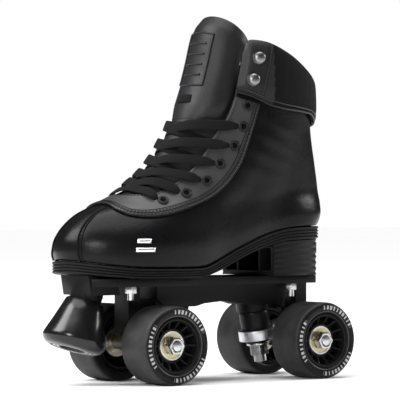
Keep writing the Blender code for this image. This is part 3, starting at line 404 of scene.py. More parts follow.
def round_edges(piece, width):
    """Round the edges that are sharper than the shape's own curves."""
    modifier = piece.modifiers.new("Rounded edges", "BEVEL")
    modifier.width = width * MM
    modifier.segments = 2
    modifier.limit_method = "ANGLE"
    modifier.angle_limit = radians(35)
    modifier.harden_normals = False


def grid_faces(rows, columns, ring=False, caps=False):
    """Quads for rows of points. A ring's last column joins its first, and caps close its ends."""
    faces = []
    for i in range(rows - 1):
        for j in range(columns if ring else columns - 1):
            k = (j + 1) % columns
            faces.append((i * columns + j, i * columns + k, (i + 1) * columns + k,
                          (i + 1) * columns + j))
    if caps:
        faces.append(tuple(range(columns - 1, -1, -1)))
        faces.append(tuple(range((rows - 1) * columns, rows * columns)))
    return faces


def turned_faces(segments, count):
    """Quads for a closed profile of count points, turned right round in segments."""
    faces = []
    for i in range(segments):
        k = (i + 1) % segments
        for j in range(count):
            m = (j + 1) % count
            faces.append((i * count + j, k * count + j, k * count + m, i * count + m))
    return faces


def face_outwards(piece):
    """Turn a sheet's faces away from the foot."""
    face = piece.data.polygons[len(piece.data.polygons) // 2]
    if face.normal.dot(face.center - world_place(FOOT_CORE)) < 0:
        piece.data.flip_normals()


def outward_sheet(name, rows):
    """An open sheet through rows of points, facing away from the foot."""
    points = [point for row in rows for point in row]
    piece = make_piece(name, points, grid_faces(len(rows), len(rows[0])))
    face_outwards(piece)
    return piece


def turned(name, profile, centre, axis=(1, 0, 0), segments=96):
    """Turn a closed (radius, along) profile round an axis through centre."""
    rotation = Vector((0, 0, 1)).rotation_difference(Vector(axis).normalized())
    points = []
    for i in range(segments):
        angle = 2 * pi * i / segments
        for radius, along in profile:
            local = Vector((radius * cos(angle), radius * sin(angle), along))
            points.append(Vector(centre) + rotation @ local)
    piece = make_piece(name, points, turned_faces(segments, len(profile)))
    tidy_mesh(piece)
    sharpen(piece)
    return piece


def sharpen(piece, angle=38):
    """Mark edges over an angle as sharp, so that flats stay flat and rounds stay smooth."""
    with editing(piece.data) as bm:
        for edge in bm.edges:
            if len(edge.link_faces) == 2:
                edge.smooth = edge.calc_face_angle(0) < radians(angle)
        for face in bm.faces:
            face.smooth = True


def rounded(profile, radius, steps=3):
    """Round the corners of a (radius, along) profile with arcs."""
    found = []
    count = len(profile)
    for i, corner in enumerate(profile):
        corner = Vector(corner)
        before = Vector(profile[i - 1]) - corner
        after = Vector(profile[(i + 1) % count]) - corner
        if corner.x == 0 or before.length == 0 or after.length == 0:
            found.append(tuple(corner))
            continue
        reach = min(radius, before.length * 0.45, after.length * 0.45)
        start = corner + before.normalized() * reach
        end = corner + after.normalized() * reach
        for n in range(steps + 1):
            t = n / steps
            found.append(tuple(start * (1 - t) ** 2 + corner * 2 * t * (1 - t) + end * t * t))
    return found


def wire(name, points, radius, sides=8):
    """A round cord or piping through points in millimetres."""
    curve = bpy.data.curves.new(name, "CURVE")
    curve.dimensions = "3D"
    curve.bevel_depth = radius * MM
    curve.bevel_resolution = max(sides // 2 - 2, 0)
    curve.use_fill_caps = True
    spline = curve.splines.new("POLY")
    spline.points.add(len(points) - 1)
    for knot, point in zip(spline.points, points):
        knot.co = (*world_place(point), 1)
    source = linked(name, curve)
    mesh = evaluated_mesh(source)
    bpy.data.objects.remove(source, do_unlink=True)
    piece = linked(name, mesh)
    tidy_mesh(piece)
    sharpen(piece, 60)
    return piece


def ribbon(name, points, normals, widths, thickness):
    """A flat woven strip through points, lying square to its normals."""
    outline = []
    for n in range(12):
        angle = 2 * pi * n / 12
        across = abs(cos(angle)) ** 0.5 * (1 if cos(angle) > 0 else -1)
        rise = abs(sin(angle)) ** 0.7 * (1 if sin(angle) > 0 else -1)
        outline.append((across, rise))
    verts = []
    uvs = []
    travel = 0
    for i, (point, normal, width) in enumerate(zip(points, normals, widths)):
        ahead = points[min(i + 1, len(points) - 1)]
        behind = points[max(i - 1, 0)]
        run = (ahead - behind).normalized()
        side = run.cross(normal).normalized()
        up = side.cross(run).normalized()
        if i:
            travel += (point - points[i - 1]).length
        for across, rise in outline:
            verts.append(point + side * across * width / 2 + up * rise * thickness / 2)
            uvs.append((travel * MM, across * width / 2 * MM))
    faces = grid_faces(len(points), len(outline), ring=True, caps=True)
    piece = make_piece(name, verts, faces, uvs)
    with editing(piece.data) as bm:
        bmesh.ops.recalc_face_normals(bm, faces=bm.faces)
    return piece


def loft(name, rings):
    """Close a stack of rings that start at their tip, with caps that pair opposite points."""
    count = len(rings[0])
    points = [point for ring in rings for point in ring]
    faces = grid_faces(len(rings), count, ring=True)
    for first in (0, (len(rings) - 1) * count):
        for i in range(count // 2):
            corners = [i, i + 1, count - i - 1, (count - i) % count]
            faces.append(tuple(first + corner for corner in dict.fromkeys(corners)))
    piece = make_piece(name, points, faces)
    tidy_mesh(piece)
    sharpen(piece, 55)
    return piece


def refined(name, node, rounding):
    """A copy of a CAD node with welded faces and rounded edges."""
    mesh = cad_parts[node].data.copy()
    piece = linked(name, mesh)
    mesh.transform(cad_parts[node].matrix_world)
    mesh.materials.clear()
    with editing(mesh) as bm:
        bmesh.ops.remove_doubles(bm, verts=bm.verts, dist=2e-6)
        bmesh.ops.dissolve_limit(bm, angle_limit=radians(1), verts=bm.verts, edges=bm.edges)
    sharpen(piece)
    if rounding:
        round_edges(piece, rounding)
        apply_all(piece)
        sharpen(piece, 30)
    return piece


def finish_piece(piece, material, body=BOOT, nodes=()):
    """Give a piece its material, its body and the CAD nodes that it stands for."""
    if material:
        piece.data.materials.clear()
        piece.data.materials.append(material)
    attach(piece, body)
    if nodes:
        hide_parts(*nodes)
    return piece


# ------------------------------------------------------------------ geometry nodes

def repeat_tree():
    """A tree that puts a shape on every point, with its Z turned to the point's direction."""
    tree = bpy.data.node_groups.new("Shape on points", "GeometryNodeTree")
    for name, way, kind in (("Geometry", "INPUT", "Geometry"), ("Shape", "INPUT", "Object"),
                            ("Size", "INPUT", "Float"), ("Material", "INPUT", "Material"),
                            ("Geometry", "OUTPUT", "Geometry")):
        tree.interface.new_socket(name, in_out=way, socket_type="NodeSocket" + kind)
    nodes = tree.nodes
    link = tree.links.new
    source = nodes.new("NodeGroupInput")
    result = nodes.new("NodeGroupOutput")
    shape = nodes.new("GeometryNodeObjectInfo")
    direction = nodes.new("GeometryNodeInputNamedAttribute")
    direction.data_type = "FLOAT_VECTOR"
    direction.inputs["Name"].default_value = "direction"
    turn = nodes.new("FunctionNodeAlignRotationToVector")
    turn.axis = "Z"
    instances = nodes.new("GeometryNodeInstanceOnPoints")
    realize = nodes.new("GeometryNodeRealizeInstances")
    paint = nodes.new("GeometryNodeSetMaterial")
    link(source.outputs["Shape"], shape.inputs["Object"])
    link(direction.outputs["Attribute"], turn.inputs["Vector"])
    link(source.outputs["Geometry"], instances.inputs["Points"])
    link(shape.outputs["Geometry"], instances.inputs["Instance"])
    link(turn.outputs["Rotation"], instances.inputs["Rotation"])
    link(source.outputs["Size"], instances.inputs["Scale"])
    link(instances.outputs["Instances"], realize.inputs["Geometry"])
    link(realize.outputs["Geometry"], paint.inputs["Geometry"])
    link(source.outputs["Material"], paint.inputs["Material"])
    link(paint.outputs["Geometry"], result.inputs["Geometry"])
    return tree


def repeat_shape(name, shape, places, material, size=1.0):
    """Put a shape at every (point, direction), with the repeating tree, and make it a mesh."""
    mesh = bpy.data.meshes.new(name)
    mesh.from_pydata([world_place(point) for point, _ in places], [], [])
    attribute = mesh.attributes.new("direction", "FLOAT_VECTOR", "POINT")
    for i, (_, direction) in enumerate(places):
        attribute.data[i].vector = direction
    piece = linked(name, mesh)
    tree = bpy.data.node_groups.get("Shape on points") or repeat_tree()
    modifier = piece.modifiers.new("Repeat", "NODES")
    modifier.node_group = tree
    for item in tree.interface.items_tree:
        if item.in_out == "INPUT" and item.name in ("Shape", "Size", "Material"):
            value = {"Shape": shape, "Size": size, "Material": material}[item.name]
            modifier[item.identifier] = value
    apply_all(piece)
    for leftover in list(piece.data.attributes):
        if leftover.name == "direction":
            piece.data.attributes.remove(leftover)
    piece.data.polygons.foreach_set("use_smooth", [True] * len(piece.data.polygons))
    return piece


def local_shape(name, points, faces):
    """A small mesh round the origin, in millimetres, for the repeating tree."""
    mesh = bpy.data.meshes.new(name)
    mesh.from_pydata([Vector(point) * MM for point in points], [], faces)
    return linked(name, mesh)


def stitch_shape(length, radius):
    """One stitch: a short thread that bows down at its ends, along Z."""
    rings = [(0, 0.15), (0.12, 0.8), (0.5, 1), (0.88, 0.8), (1, 0.15)]
    points = []
    for place, swell in rings:
        for n in range(6):
            angle = 2 * pi * n / 6
            points.append((radius * swell * cos(angle), radius * swell * sin(angle),
                           (place - 0.5) * length))
    return local_shape("Stitch shape", points, grid_faces(len(rings), 6, ring=True, caps=True))


def even_places(points, pitch):
    """Places a pitch apart along a polyline, with the direction of the line at each."""
    places = []
    travel = 0
    wanted = pitch / 2
    for start, end in zip(points, points[1:]):
        run = end - start
        while run.length and wanted <= travel + run.length:
            places.append((start + run * ((wanted - travel) / run.length), run.normalized()))
            wanted += pitch
        travel += run.length
    return places


def stitch_line(name, lines, material, look):
    """A row of stitches along each line."""
    shape = stitch_shape(look.stitch_length, look.stitch_radius)
    places = [place for line in lines for place in even_places(line, look.stitch_pitch)]
    piece = repeat_shape(name, shape, places, material)
    bpy.data.objects.remove(shape, do_unlink=True)
    return piece


# ------------------------------------------------------------------ shader helpers

class Term:
    """A shader value: maths on it adds Math nodes."""

    def __init__(self, graph, socket):
        self.graph = graph
        self.socket = socket

    def math(self, operation, *others):
        return self.graph.math(operation, self, *others)

    def __add__(self, other):
        return self.math("ADD", other)

    def __radd__(self, other):
        return self.graph.math("ADD", other, self)

    def __sub__(self, other):
        return self.math("SUBTRACT", other)

    def __rsub__(self, other):
        return self.graph.math("SUBTRACT", other, self)

    def __mul__(self, other):
        return self.math("MULTIPLY", other)

    def __rmul__(self, other):
        return self.graph.math("MULTIPLY", other, self)

    def __truediv__(self, other):
        return self.math("DIVIDE", other)


class Finish:
    """A material in the making, with a Principled shader and short ways to feed it."""

    def __init__(self, name, colour, roughness, metallic=0.0, **fixed):
        self.material = bpy.data.materials.new(name)
        self.material.use_nodes = True
        self.tree = self.material.node_tree
        self.shader = self.tree.nodes["Principled BSDF"]
        self.colour = (*colour[:3], 1)
        self.shader.inputs["Base Color"].default_value = self.colour
        self.shader.inputs["Roughness"].default_value = roughness
        self.shader.inputs["Metallic"].default_value = metallic
        for key, value in fixed.items():
            socket = key.replace("_", " ").title().replace("Ior", "IOR")
            self.shader.inputs[socket].default_value = value
        self.heights = []

    def add(self, kind, settings=None, values=None):
        """Add a node: its settings first, then its sockets' values or links."""
        node = self.tree.nodes.new(kind)
        for key, value in (settings or {}).items():
            setattr(node, key, value)
        for key, value in (values or {}).items():
            self.feed(node.inputs[key], value)
        return node

    def feed(self, socket, value):
        if isinstance(value, Term):
            value = value.socket
        if isinstance(value, bpy.types.NodeSocket):
            self.tree.links.new(value, socket)
        else:
            socket.default_value = value

    def term(self, node, output=0):
        return Term(self, node.outputs[output])

    def math(self, operation, *terms):
        node = self.add("ShaderNodeMath", {"operation": operation})
        for socket, value in zip(node.inputs, terms):
            self.feed(socket, value)
        return self.term(node)

    def place(self, centre=(0, 0, 0), stretch=(1, 1, 1)):
        """Object coordinates, measured from centre in metres and stretched."""
        coordinates = self.add("ShaderNodeTexCoord")
        away = self.add("ShaderNodeVectorMath", {"operation": "SUBTRACT"},
                        {0: coordinates.outputs["Object"], 1: centre})
        scaled = self.add("ShaderNodeVectorMath", {"operation": "MULTIPLY"},
                          {0: away.outputs[0], 1: stretch})
        return scaled.outputs[0]

    def axes(self, vector):
        parts = self.add("ShaderNodeSeparateXYZ", values={0: vector})
        return [self.term(parts, i) for i in range(3)]

    def noise(self, scale, detail=3.0, vector=None):
        node = self.add("ShaderNodeTexNoise", values={"Scale": scale, "Detail": detail,
                                                      "Vector": vector or self.place()})
        return self.term(node, "Fac")

    def cells(self, scale):
        node = self.add("ShaderNodeTexVoronoi", values={"Scale": scale, "Vector": self.place()})
        return self.term(node, "Distance")

    def mix_colour(self, mask, low, high):
        """Low where mask is 0 and high where it is 1: each a colour or a socket."""
        node = self.add("ShaderNodeMix", {"data_type": "RGBA"}, {"Factor": mask})
        for socket, shade in ((node.inputs[6], low), (node.inputs[7], high)):
            is_socket = isinstance(shade, bpy.types.NodeSocket)
            self.feed(socket, shade if is_socket else (*shade[:3], 1))
        return node.outputs[2]

    def vary(self, value, amount):
        """Make the base colour a little darker and lighter where value goes from 0 to 1."""
        low = tuple(part * (1 - amount) for part in self.colour[:3])
        high = tuple(part * (1 + amount) for part in self.colour[:3])
        mixed = self.mix_colour(value, low, high)
        self.feed(self.shader.inputs["Base Color"], mixed)
        return mixed

    def rough(self, value, low, high):
        self.feed(self.shader.inputs["Roughness"], low + value * (high - low))

    def relief(self, height, distance, strength):
        """A Bump node over the earlier ones. Distance is in metres."""
        values = {"Height": height, "Distance": distance, "Strength": strength}
        if self.heights:
            values["Normal"] = self.heights[-1].outputs["Normal"]
        self.heights.append(self.add("ShaderNodeBump", values=values))
        self.feed(self.shader.inputs["Normal"], self.heights[-1].outputs["Normal"])


def leather(name, colour, roughness, grain, gloss):
    """Smooth black synthetic leather: fine pebbled grain, soft creases and uneven polish."""
    finish = Finish(name, colour, roughness, specular_ior_level=gloss)
    pebbles = finish.cells(1100)
    creases = finish.noise(130, 4)
    polish = finish.noise(28, 3)
    finish.vary(polish, 0.22)
    finish.rough(polish, roughness - 0.07, roughness + 0.09)
    finish.relief(pebbles, 0.00012 * grain, 0.5)
    finish.relief(creases, 0.0005 * grain, 0.35)
    return finish.material


def woven(name, colour, roughness, threads, depth=0.00025, uv=False):
    """Woven cloth: threads that cross over and under, with a little fuzz, and painted shade that
    darkens the dips between the threads.
    """
    finish = Finish(name, colour, roughness, sheen_weight=0.02, sheen_roughness=0.5,
                    specular_ior_level=0.06)
    if uv:
        source = finish.add("ShaderNodeUVMap", {"uv_map": "Weave"}).outputs[0]
        first, second, _ = finish.axes(source)
    else:
        x, y, z = finish.axes(finish.place())
        first = x + y
        second = z
    warp = (first * threads).math("SINE")
    weft = (second * threads).math("SINE")
    over = (warp * weft) * 0.5 + 0.5
    threads_up = warp.math("ABSOLUTE") * 0.5 + weft.math("ABSOLUTE") * 0.5
    fuzz = finish.noise(900, 2)
    height = over * 0.6 + threads_up * 0.4
    # Colour lighter on the raised threads and darker in the dips: painted shade, with random fuzz
    finish.vary(height * 0.7 + fuzz * 0.3, 0.3)
    finish.rough(fuzz, roughness - 0.05, min(roughness + 0.08, 1))
    finish.relief(height, depth, 0.6)
    return finish.material


def moulded(name, colour, roughness, texture=1.0):
    """Satin moulded plastic with a fine spark-eroded texture and faint flow marks."""
    finish = Finish(name, colour, roughness, specular_ior_level=0.11)
    speckle = finish.noise(1800, 2)
    flow = finish.noise(35, 3)
    finish.vary(flow, 0.2)
    finish.rough(flow, roughness - 0.06, roughness + 0.1)
    finish.relief(speckle, 0.00008 * texture, 0.5)
    return finish.material


def metal(name, colour, roughness, brushed=0.3):
    """Plated or cast metal with fine scratches and cloudy polish."""
    finish = Finish(name, colour, roughness, 1.0)
    cloud = finish.noise(160, 4)
    scratches = finish.noise(900, 2, finish.place(stretch=(1, 1, 0.15)))
    finish.vary(cloud, 0.18)
    finish.rough(cloud * 0.6 + scratches * 0.4, roughness - 0.08, roughness + 0.14)
    finish.relief(scratches, 0.00006, brushed)
    return finish.material


def round_place(finish, centre):
    """Distance from a wheel's axis and angle round it, and the way out along it, in metres."""
    out, y, z = finish.axes(finish.place(tuple(world_place(centre))))
    radius = (y * y + z * z).math("SQRT")
    angle = y.math("ARCTAN2", z)
    return radius, angle, out


def band(value, low, high, edge=0.00025):
    """One between low and high, with soft edges."""
    rise = (value - low) / edge
    fall = (high - value) / edge
    return rise.math("MINIMUM", fall).math("MINIMUM", 1.0).math("MAXIMUM", 0.0)


def tyre_finish(name, centre, side, look):
    """Satin black urethane with a plain printed ring of bars on its outer face, and smudged
    lighter grey on the tread that is partly wear and partly painted sheen at the wheel's edge.
    """
    finish = Finish(name, look.tyre_colour, 0.34, specular_ior_level=0.13)
    radius, angle, out = round_place(finish, centre)
    outside = band(out * side, WHEEL_WIDTH / 2 * MM - 0.0022, 1.0)
    bars = (angle * look.print_bars).math("SINE")
    wide = (angle * 3).math("SINE")
    uneven = (angle * (look.print_bars / 4)).math("SINE")
    dashes = (bars * 4 + uneven * 2).math("MINIMUM", 1.0).math("MAXIMUM", 0.0)
    gaps = (wide * 12 + 5).math("MINIMUM", 1.0).math("MAXIMUM", 0.0)
    ring = band(radius, 0.0234, 0.0266)
    line = band(radius, 0.0219, 0.0222, 0.0001)
    printed = (ring * dashes * gaps).math("MAXIMUM", line * 0.4) * outside
    smudge = finish.noise(90, 4)
    # Lighter grey on the tread in smudged patches: partly wear, partly painted sheen along the
    # wheel's edge
    wear_and_sheen = band(radius, WHEEL_RADIUS * MM - 0.0012, 1.0)
    dark = finish.vary(smudge, 0.25)
    scuffed_and_sheen = finish.mix_colour(wear_and_sheen * smudge * 0.5, dark, (0.1, 0.1, 0.1))
    finish.feed(finish.shader.inputs["Base Color"],
                finish.mix_colour(printed * 0.9, scuffed_and_sheen, look.print_colour))
    finish.feed(finish.shader.inputs["Roughness"], 0.3 + smudge * 0.14 + wear_and_sheen * 0.1)
    finish.relief(finish.noise(700, 2), 0.00006, 0.4)
    return finish.material


def bearing_finish(name, centre):
    """Steel races round a straw-coloured shield."""
    finish = Finish(name, (0.62, 0.6, 0.55), 0.28, 1.0)
    radius, _, _ = round_place(finish, centre)
    shield = band(radius, 0.0064, 0.0094, 0.0002)
    cloud = finish.noise(300, 3)
    steel = finish.vary(cloud, 0.15)
    finish.feed(finish.shader.inputs["Base Color"],
                finish.mix_colour(shield * 0.9, steel, (0.5, 0.43, 0.24)))
    rings = (radius * 9000).math("SINE")
    finish.relief(rings, 0.00003, 0.3)
    finish.rough(cloud, 0.2, 0.4)
    return finish.material


def stop_finish(name, look):
    """Polished black rubber, its colour lighter in faint vertical streaks of painted reflection.
    """
    finish = Finish(name, look.stop_colour, 0.2, specular_ior_level=0.35)
    # Vertical streaks that lighten the base colour: painted reflection
    reflection_streaks = finish.noise(120, 3, finish.place(stretch=(1, 1, 0.08)))
    finish.vary(reflection_streaks, 0.3)
    finish.rough(reflection_streaks, 0.13, 0.3)
    finish.relief(finish.noise(500, 3), 0.00005, 0.4)
    return finish.material


# Each finish: its name, its maker, its colour or the property that holds it, and its settings.
FINISHES = {
    "shell": ("Polished black leather", leather, "leather_colour", 0.27, 1.0, 0.13),
    "facing": ("Grained facing leather", leather, "facing_colour", 0.4, 1.6, 0.3),
    "soft": ("Soft padded leather", leather, "tongue_colour", 0.45, 1.3, 0.25),
    "cloth": ("Cuff cloth", woven, "cloth_colour", 0.8, 2600.0),
    "lining": ("Grey lining cloth", woven, (0.42, 0.42, 0.43), 0.9, 3200.0, 0.0002),
    "lace": ("Braided lace", woven, "lace_colour", 0.72, 4200.0, 0.0004, True),
    "thread": ("Waxed thread", moulded, (0.012, 0.012, 0.013), 0.55),
    "nylon": ("Moulded nylon", moulded, "nylon_colour", 0.42),
    "sole": ("Ribbed sole rubber", moulded, "sole_colour", 0.5, 1.5),
    "hub": ("Hub plastic", moulded, (0.005, 0.005, 0.0055), 0.35, 0.6),
    "cushion": ("Cushion urethane", moulded, (0.006, 0.006, 0.0065), 0.33, 0.6),
    "eyelet": ("Black lacquered eyelet", moulded, (0.012, 0.012, 0.013), 0.25, 0.3),
    # A near-black disc that fills each eyelet's hole: painted shade where the hole is dark
    "hole_shade": ("Eyelet hole", moulded, (0.002, 0.002, 0.002), 0.9, 0.1),
    "steel": ("Zinc-plated steel", metal, (0.5, 0.5, 0.51), 0.25),
    "alloy": ("Cast alloy", metal, (0.62, 0.62, 0.64), 0.36, 0.5),
    "hook": ("Dull nickel", metal, (0.2, 0.2, 0.205), 0.32, 0.2),
    "foil": ("Bright foil", metal, (0.78, 0.78, 0.79), 0.3, 0.1)}


# ------------------------------------------------------------------ properties

def length(name, description, default, low, high):
    """A property for a length in millimetres."""
    return FloatProperty(name=name, description=description + ", in millimetres",
                         default=default, min=low, max=high)


def number(name, description, default, low, high):
    """A property for a count."""
    return IntProperty(name=name, description=description, default=default, min=low, max=high)


def colour(name, description, *default):
    """A property for a colour."""
    return FloatVectorProperty(name=name, description="Colour of the " + description,
                               subtype="COLOR", size=3, default=default, min=0, max=1)


class SkateLook(bpy.types.PropertyGroup):
    """Sizes and colours that a user would change."""

    lace_width: length("Lace width", "Width of the flat lace", 8.2, 3.0, 12.0)
    lace_thickness: length("Lace thickness", "Thickness of the flat lace", 1.2, 0.5, 3.0)
    stitch_pitch: length("Stitch pitch", "Distance between stitches", 2.7, 1.0, 8.0)
    stitch_length: length("Stitch length", "Length of one stitch", 1.9, 0.5, 6.0)
    stitch_radius: length("Thread radius", "Radius of the sewing thread", 0.28, 0.1, 1.0)
    spoke_count: number("Hub spokes", "Spokes in each wheel's hub", 14, 5, 24)
    print_bars: number("Printed bars", "Bars in the ring printed on each wheel", 48, 6, 90)
    leather_colour: colour("Leather", "boot's polished leather", 0.004, 0.004, 0.0045)
    facing_colour: colour("Facing", "eyelet facing", 0.035, 0.035, 0.036)
    tongue_colour: colour("Tongue", "tongue and the cuff's front tabs", 0.011, 0.011, 0.012)
    cloth_colour: colour("Cuff cloth", "padded cuff", 0.0045, 0.0045, 0.005)
    lace_colour: colour("Lace", "lace", 0.006, 0.006, 0.0065)
    nylon_colour: colour("Plate nylon", "plate", 0.004, 0.004, 0.0043)
    sole_colour: colour("Sole", "sole and the heel", 0.006, 0.006, 0.0064)
    tyre_colour: colour("Tyre", "wheels' tyres", 0.006, 0.006, 0.0064)
    print_colour: colour("Print", "ring printed on the wheels", 0.4, 0.4, 0.4)
    stop_colour: colour("Toe stop", "toe stop", 0.006, 0.006, 0.0063)


class SkateOperator:
    """What the operators share."""

    bl_options = {"REGISTER", "UNDO"}

    def execute(self, context):
        self.look = context.scene.skate_look
        self.build()
        return {"FINISHED"}

    def paint(self, key):
        """A finish by its key, made once and found again by its name."""
        name, maker, shade, *values = FINISHES[key]
        if isinstance(shade, str):
            shade = getattr(self.look, shade)
        return bpy.data.materials.get(name) or maker(name, shade, *values)

    def refine(self, name, node, rounding, key, slot, body=BOOT):
        """Finish a CAD node in its own shape, with welded faces and rounded edges."""
        return finish_piece(refined(name, node, rounding), self.paint(key), body, [node])


# ------------------------------------------------------------------ the boot

SHELL_LOW_ROWS = 18
SHELL_HIGH_ROWS = 26
SHELL_COLUMNS = 30
SHELL_FRONT_COLUMNS = 6
HEEL_SEAM = range(94, 196, 3)
FACING_TOP = FACING_LIFT + FACING_THICKNESS


def crease(level, back, side):
    """How far the leather stands in or out where the ankle bends, in millimetres."""
    if back > 0.75:
        return 0.0
    zone = smooth_step(138, 158, level) * (1 - smooth_step(185, 212, level))
    reach = smooth_step(0.3, 0.42, back) * (1 - smooth_step(0.55, 0.75, back))
    return 0.45 * zone * reach * sin((level + 60 * back * side) * 0.42)


def shell_mesh():
    """The boot's outside as an open sheet: closed over the toe, slit at the throat."""
    low = [TOE_Z + (THROAT_Z - TOE_Z) * (n / SHELL_LOW_ROWS)
           for n in range(SHELL_LOW_ROWS + 1)]
    high = [THROAT_Z + (UPPER_TOP - THROAT_Z) * (n / SHELL_HIGH_ROWS)
            for n in range(1, SHELL_HIGH_ROWS + 1)]
    points = []
    rows = []
    for level in low + high:
        edge = throat_edge(level)
        backs = spread(edge, 1, SHELL_COLUMNS)
        front = spread(0, edge, SHELL_FRONT_COLUMNS + 1)[:-1] if level <= THROAT_Z else []
        near = [(back, 1) for back in front] + [(back, 1) for back in backs]
        far = [(back, -1) for back in front[1:]] + [(back, -1) for back in backs[:-1]]
        ring = near + far[::-1]
        row = []
        for back, side in ring:
            row.append(len(points))
            place = below_rim(level, back)
            points.append(over_boot(place, back, side, crease(level, back, side)))
        rows.append(row)
    faces = []
    for lower, upper in zip(rows, rows[1:]):
        if len(upper) < len(lower):
            lower = lower[SHELL_FRONT_COLUMNS:len(lower) - SHELL_FRONT_COLUMNS + 1]
        closed = len(lower) > 2 * SHELL_COLUMNS
        for i in range(len(lower) if closed else len(lower) - 1):
            j = (i + 1) % len(lower)
            faces.append((lower[i], lower[j], upper[j], upper[i]))
    piece = make_piece("boot_shell", points, faces)
    face_outwards(piece)
    return piece


def toe_seam_line(side, height, outwards=0.0):
    """One seam of the toe's centre panel, from the sole up to the facing."""
    knots = [(92, 0.0215), (101, 0.021), (110, 0.018), (117, 0.0162), (122, 0.0155),
             (125, 0.0137), (128, 0.0108), (130.6, 0.009)]
    line = []
    for level, back in blend_points(knots, 40):
        back = max((sqrt(back) + outwards) ** 2, 0.0004)
        line.append(over_boot(level, back, side, height))
    return line


class SKATE_OT_boot(SkateOperator, bpy.types.Operator):
    """Build the boot's shell, its toe seams, side mark, heel seam and insole"""

    bl_idname = "skate.boot"
    bl_label = "Boot shell"

    def build(self):
        shell = shell_mesh()
        thicken(shell, SHELL, outwards=False)
        subdivide(shell)
        apply_all(shell)
        finish_piece(shell, self.paint("shell"), BOOT, ["upper"])

        ribs = []
        for side in (1, -1):
            ribs.append(wire("toe_welt", toe_seam_line(side, 0.25), 0.55))
            ribs.append(wire("toe_welt", toe_seam_line(side, 0.1, 0.022), 0.35))
        heel = [over_boot(level, 0.9995, 1, 0.15) for level in HEEL_SEAM]
        ribs.append(wire("heel_seam", heel, 0.5))
        welts = join_meshes("seam_welts", ribs)
        finish_piece(welts, self.paint("shell"), BOOT)

        lines = [toe_seam_line(side, 0.22, 0.011) for side in (1, -1)]
        for offset in (-0.0015, -0.006):
            lines.append([over_boot(level, 1 + offset, 1, 0.2) for level in HEEL_SEAM])
        seams = stitch_line("toe_and_heel_stitches", lines, self.paint("thread"), self.look)
        finish_piece(seams, None, BOOT)
        self.side_mark()
        self.insole()

    def side_mark(self):
        """Two plain level bars in foil on the side of the toe."""
        bars = []
        for level, length in ((101.0, 0.06), (106.6, 0.042)):
            rows = [[over_boot(level + 1.3 * n, 0.165 + length * m / 8, 1, 0.12)
                     for m in range(9)] for n in range(3)]
            bar = outward_sheet("bar", rows)
            thicken(bar, 0.18)
            apply_all(bar)
            bars.append(bar)
        mark = join_meshes("side_mark_bars", bars)
        finish_piece(mark, self.paint("foil"), BOOT)

    def insole(self):
        """The lined footbed, crowned a little towards its edges."""
        rings = []
        for rise, inset in ((0.3, 3.6), (1.6, 3.4), (2.9, 3.6), (3.3, 4.6)):
            ring = []
            for point in sole_outline(-inset, 40):
                ring.append((point.x, point.y, along_line(SOLE_TOP, point.y) + rise))
            rings.append(ring)
        footbed = loft("insole_board", rings)
        finish_piece(footbed, self.paint("lining"), BOOT, ["insole"])


def sole_outline(offset, count=48):
    """Points round the sole from the toe to the heel and back, moved outwards by offset."""
    backs = spread(0, 1, count)
    near = [boot_point(TOE_Z, back) for back in backs]
    far = [boot_point(TOE_Z, back, -1) for back in backs]
    ring = near + far[-2:0:-1]
    moved = []
    for i, point in enumerate(ring):
        run = (ring[(i + 1) % len(ring)] - ring[i - 1]).to_2d().normalized()
        moved.append(Vector((point.x + run.y * offset, point.y - run.x * offset)))
    return moved


def facing_rows(count, columns):
    """The facing's (level, back) pairs on one side, from the front centre to the top."""
    inner = [(THROAT_Z - 0.7, back) for back in FACING_FRONT]
    inner += [(level, throat_edge(level) + 0.004) for level in FACING_SIDE]
    pairs = [(*start, *end) for start, end in zip(inner, FACING_OUTER)]
    rows = []
    for level_in, back_in, level_out, back_out in blend_points(pairs, count):
        back_in = max(back_in, 0)
        back_out = max(back_out, 0)
        row = []
        for j in range(columns):
            mix = j / (columns - 1)
            row.append((level_in + (level_out - level_in) * mix,
                        back_in + (back_out - back_in) * mix))
        rows.append(row)
    return rows


def facing_line(part, height, count=70):
    """A line that runs round the facing at a share of its width, from one top to the other."""
    near = []
    far = []
    for row in facing_rows(count, 21):
        level, back = row[round(part * 20)]
        near.append(over_boot(level, back, 1, height))
        far.append(over_boot(level, back, -1, height))
    return far[:0:-1] + near


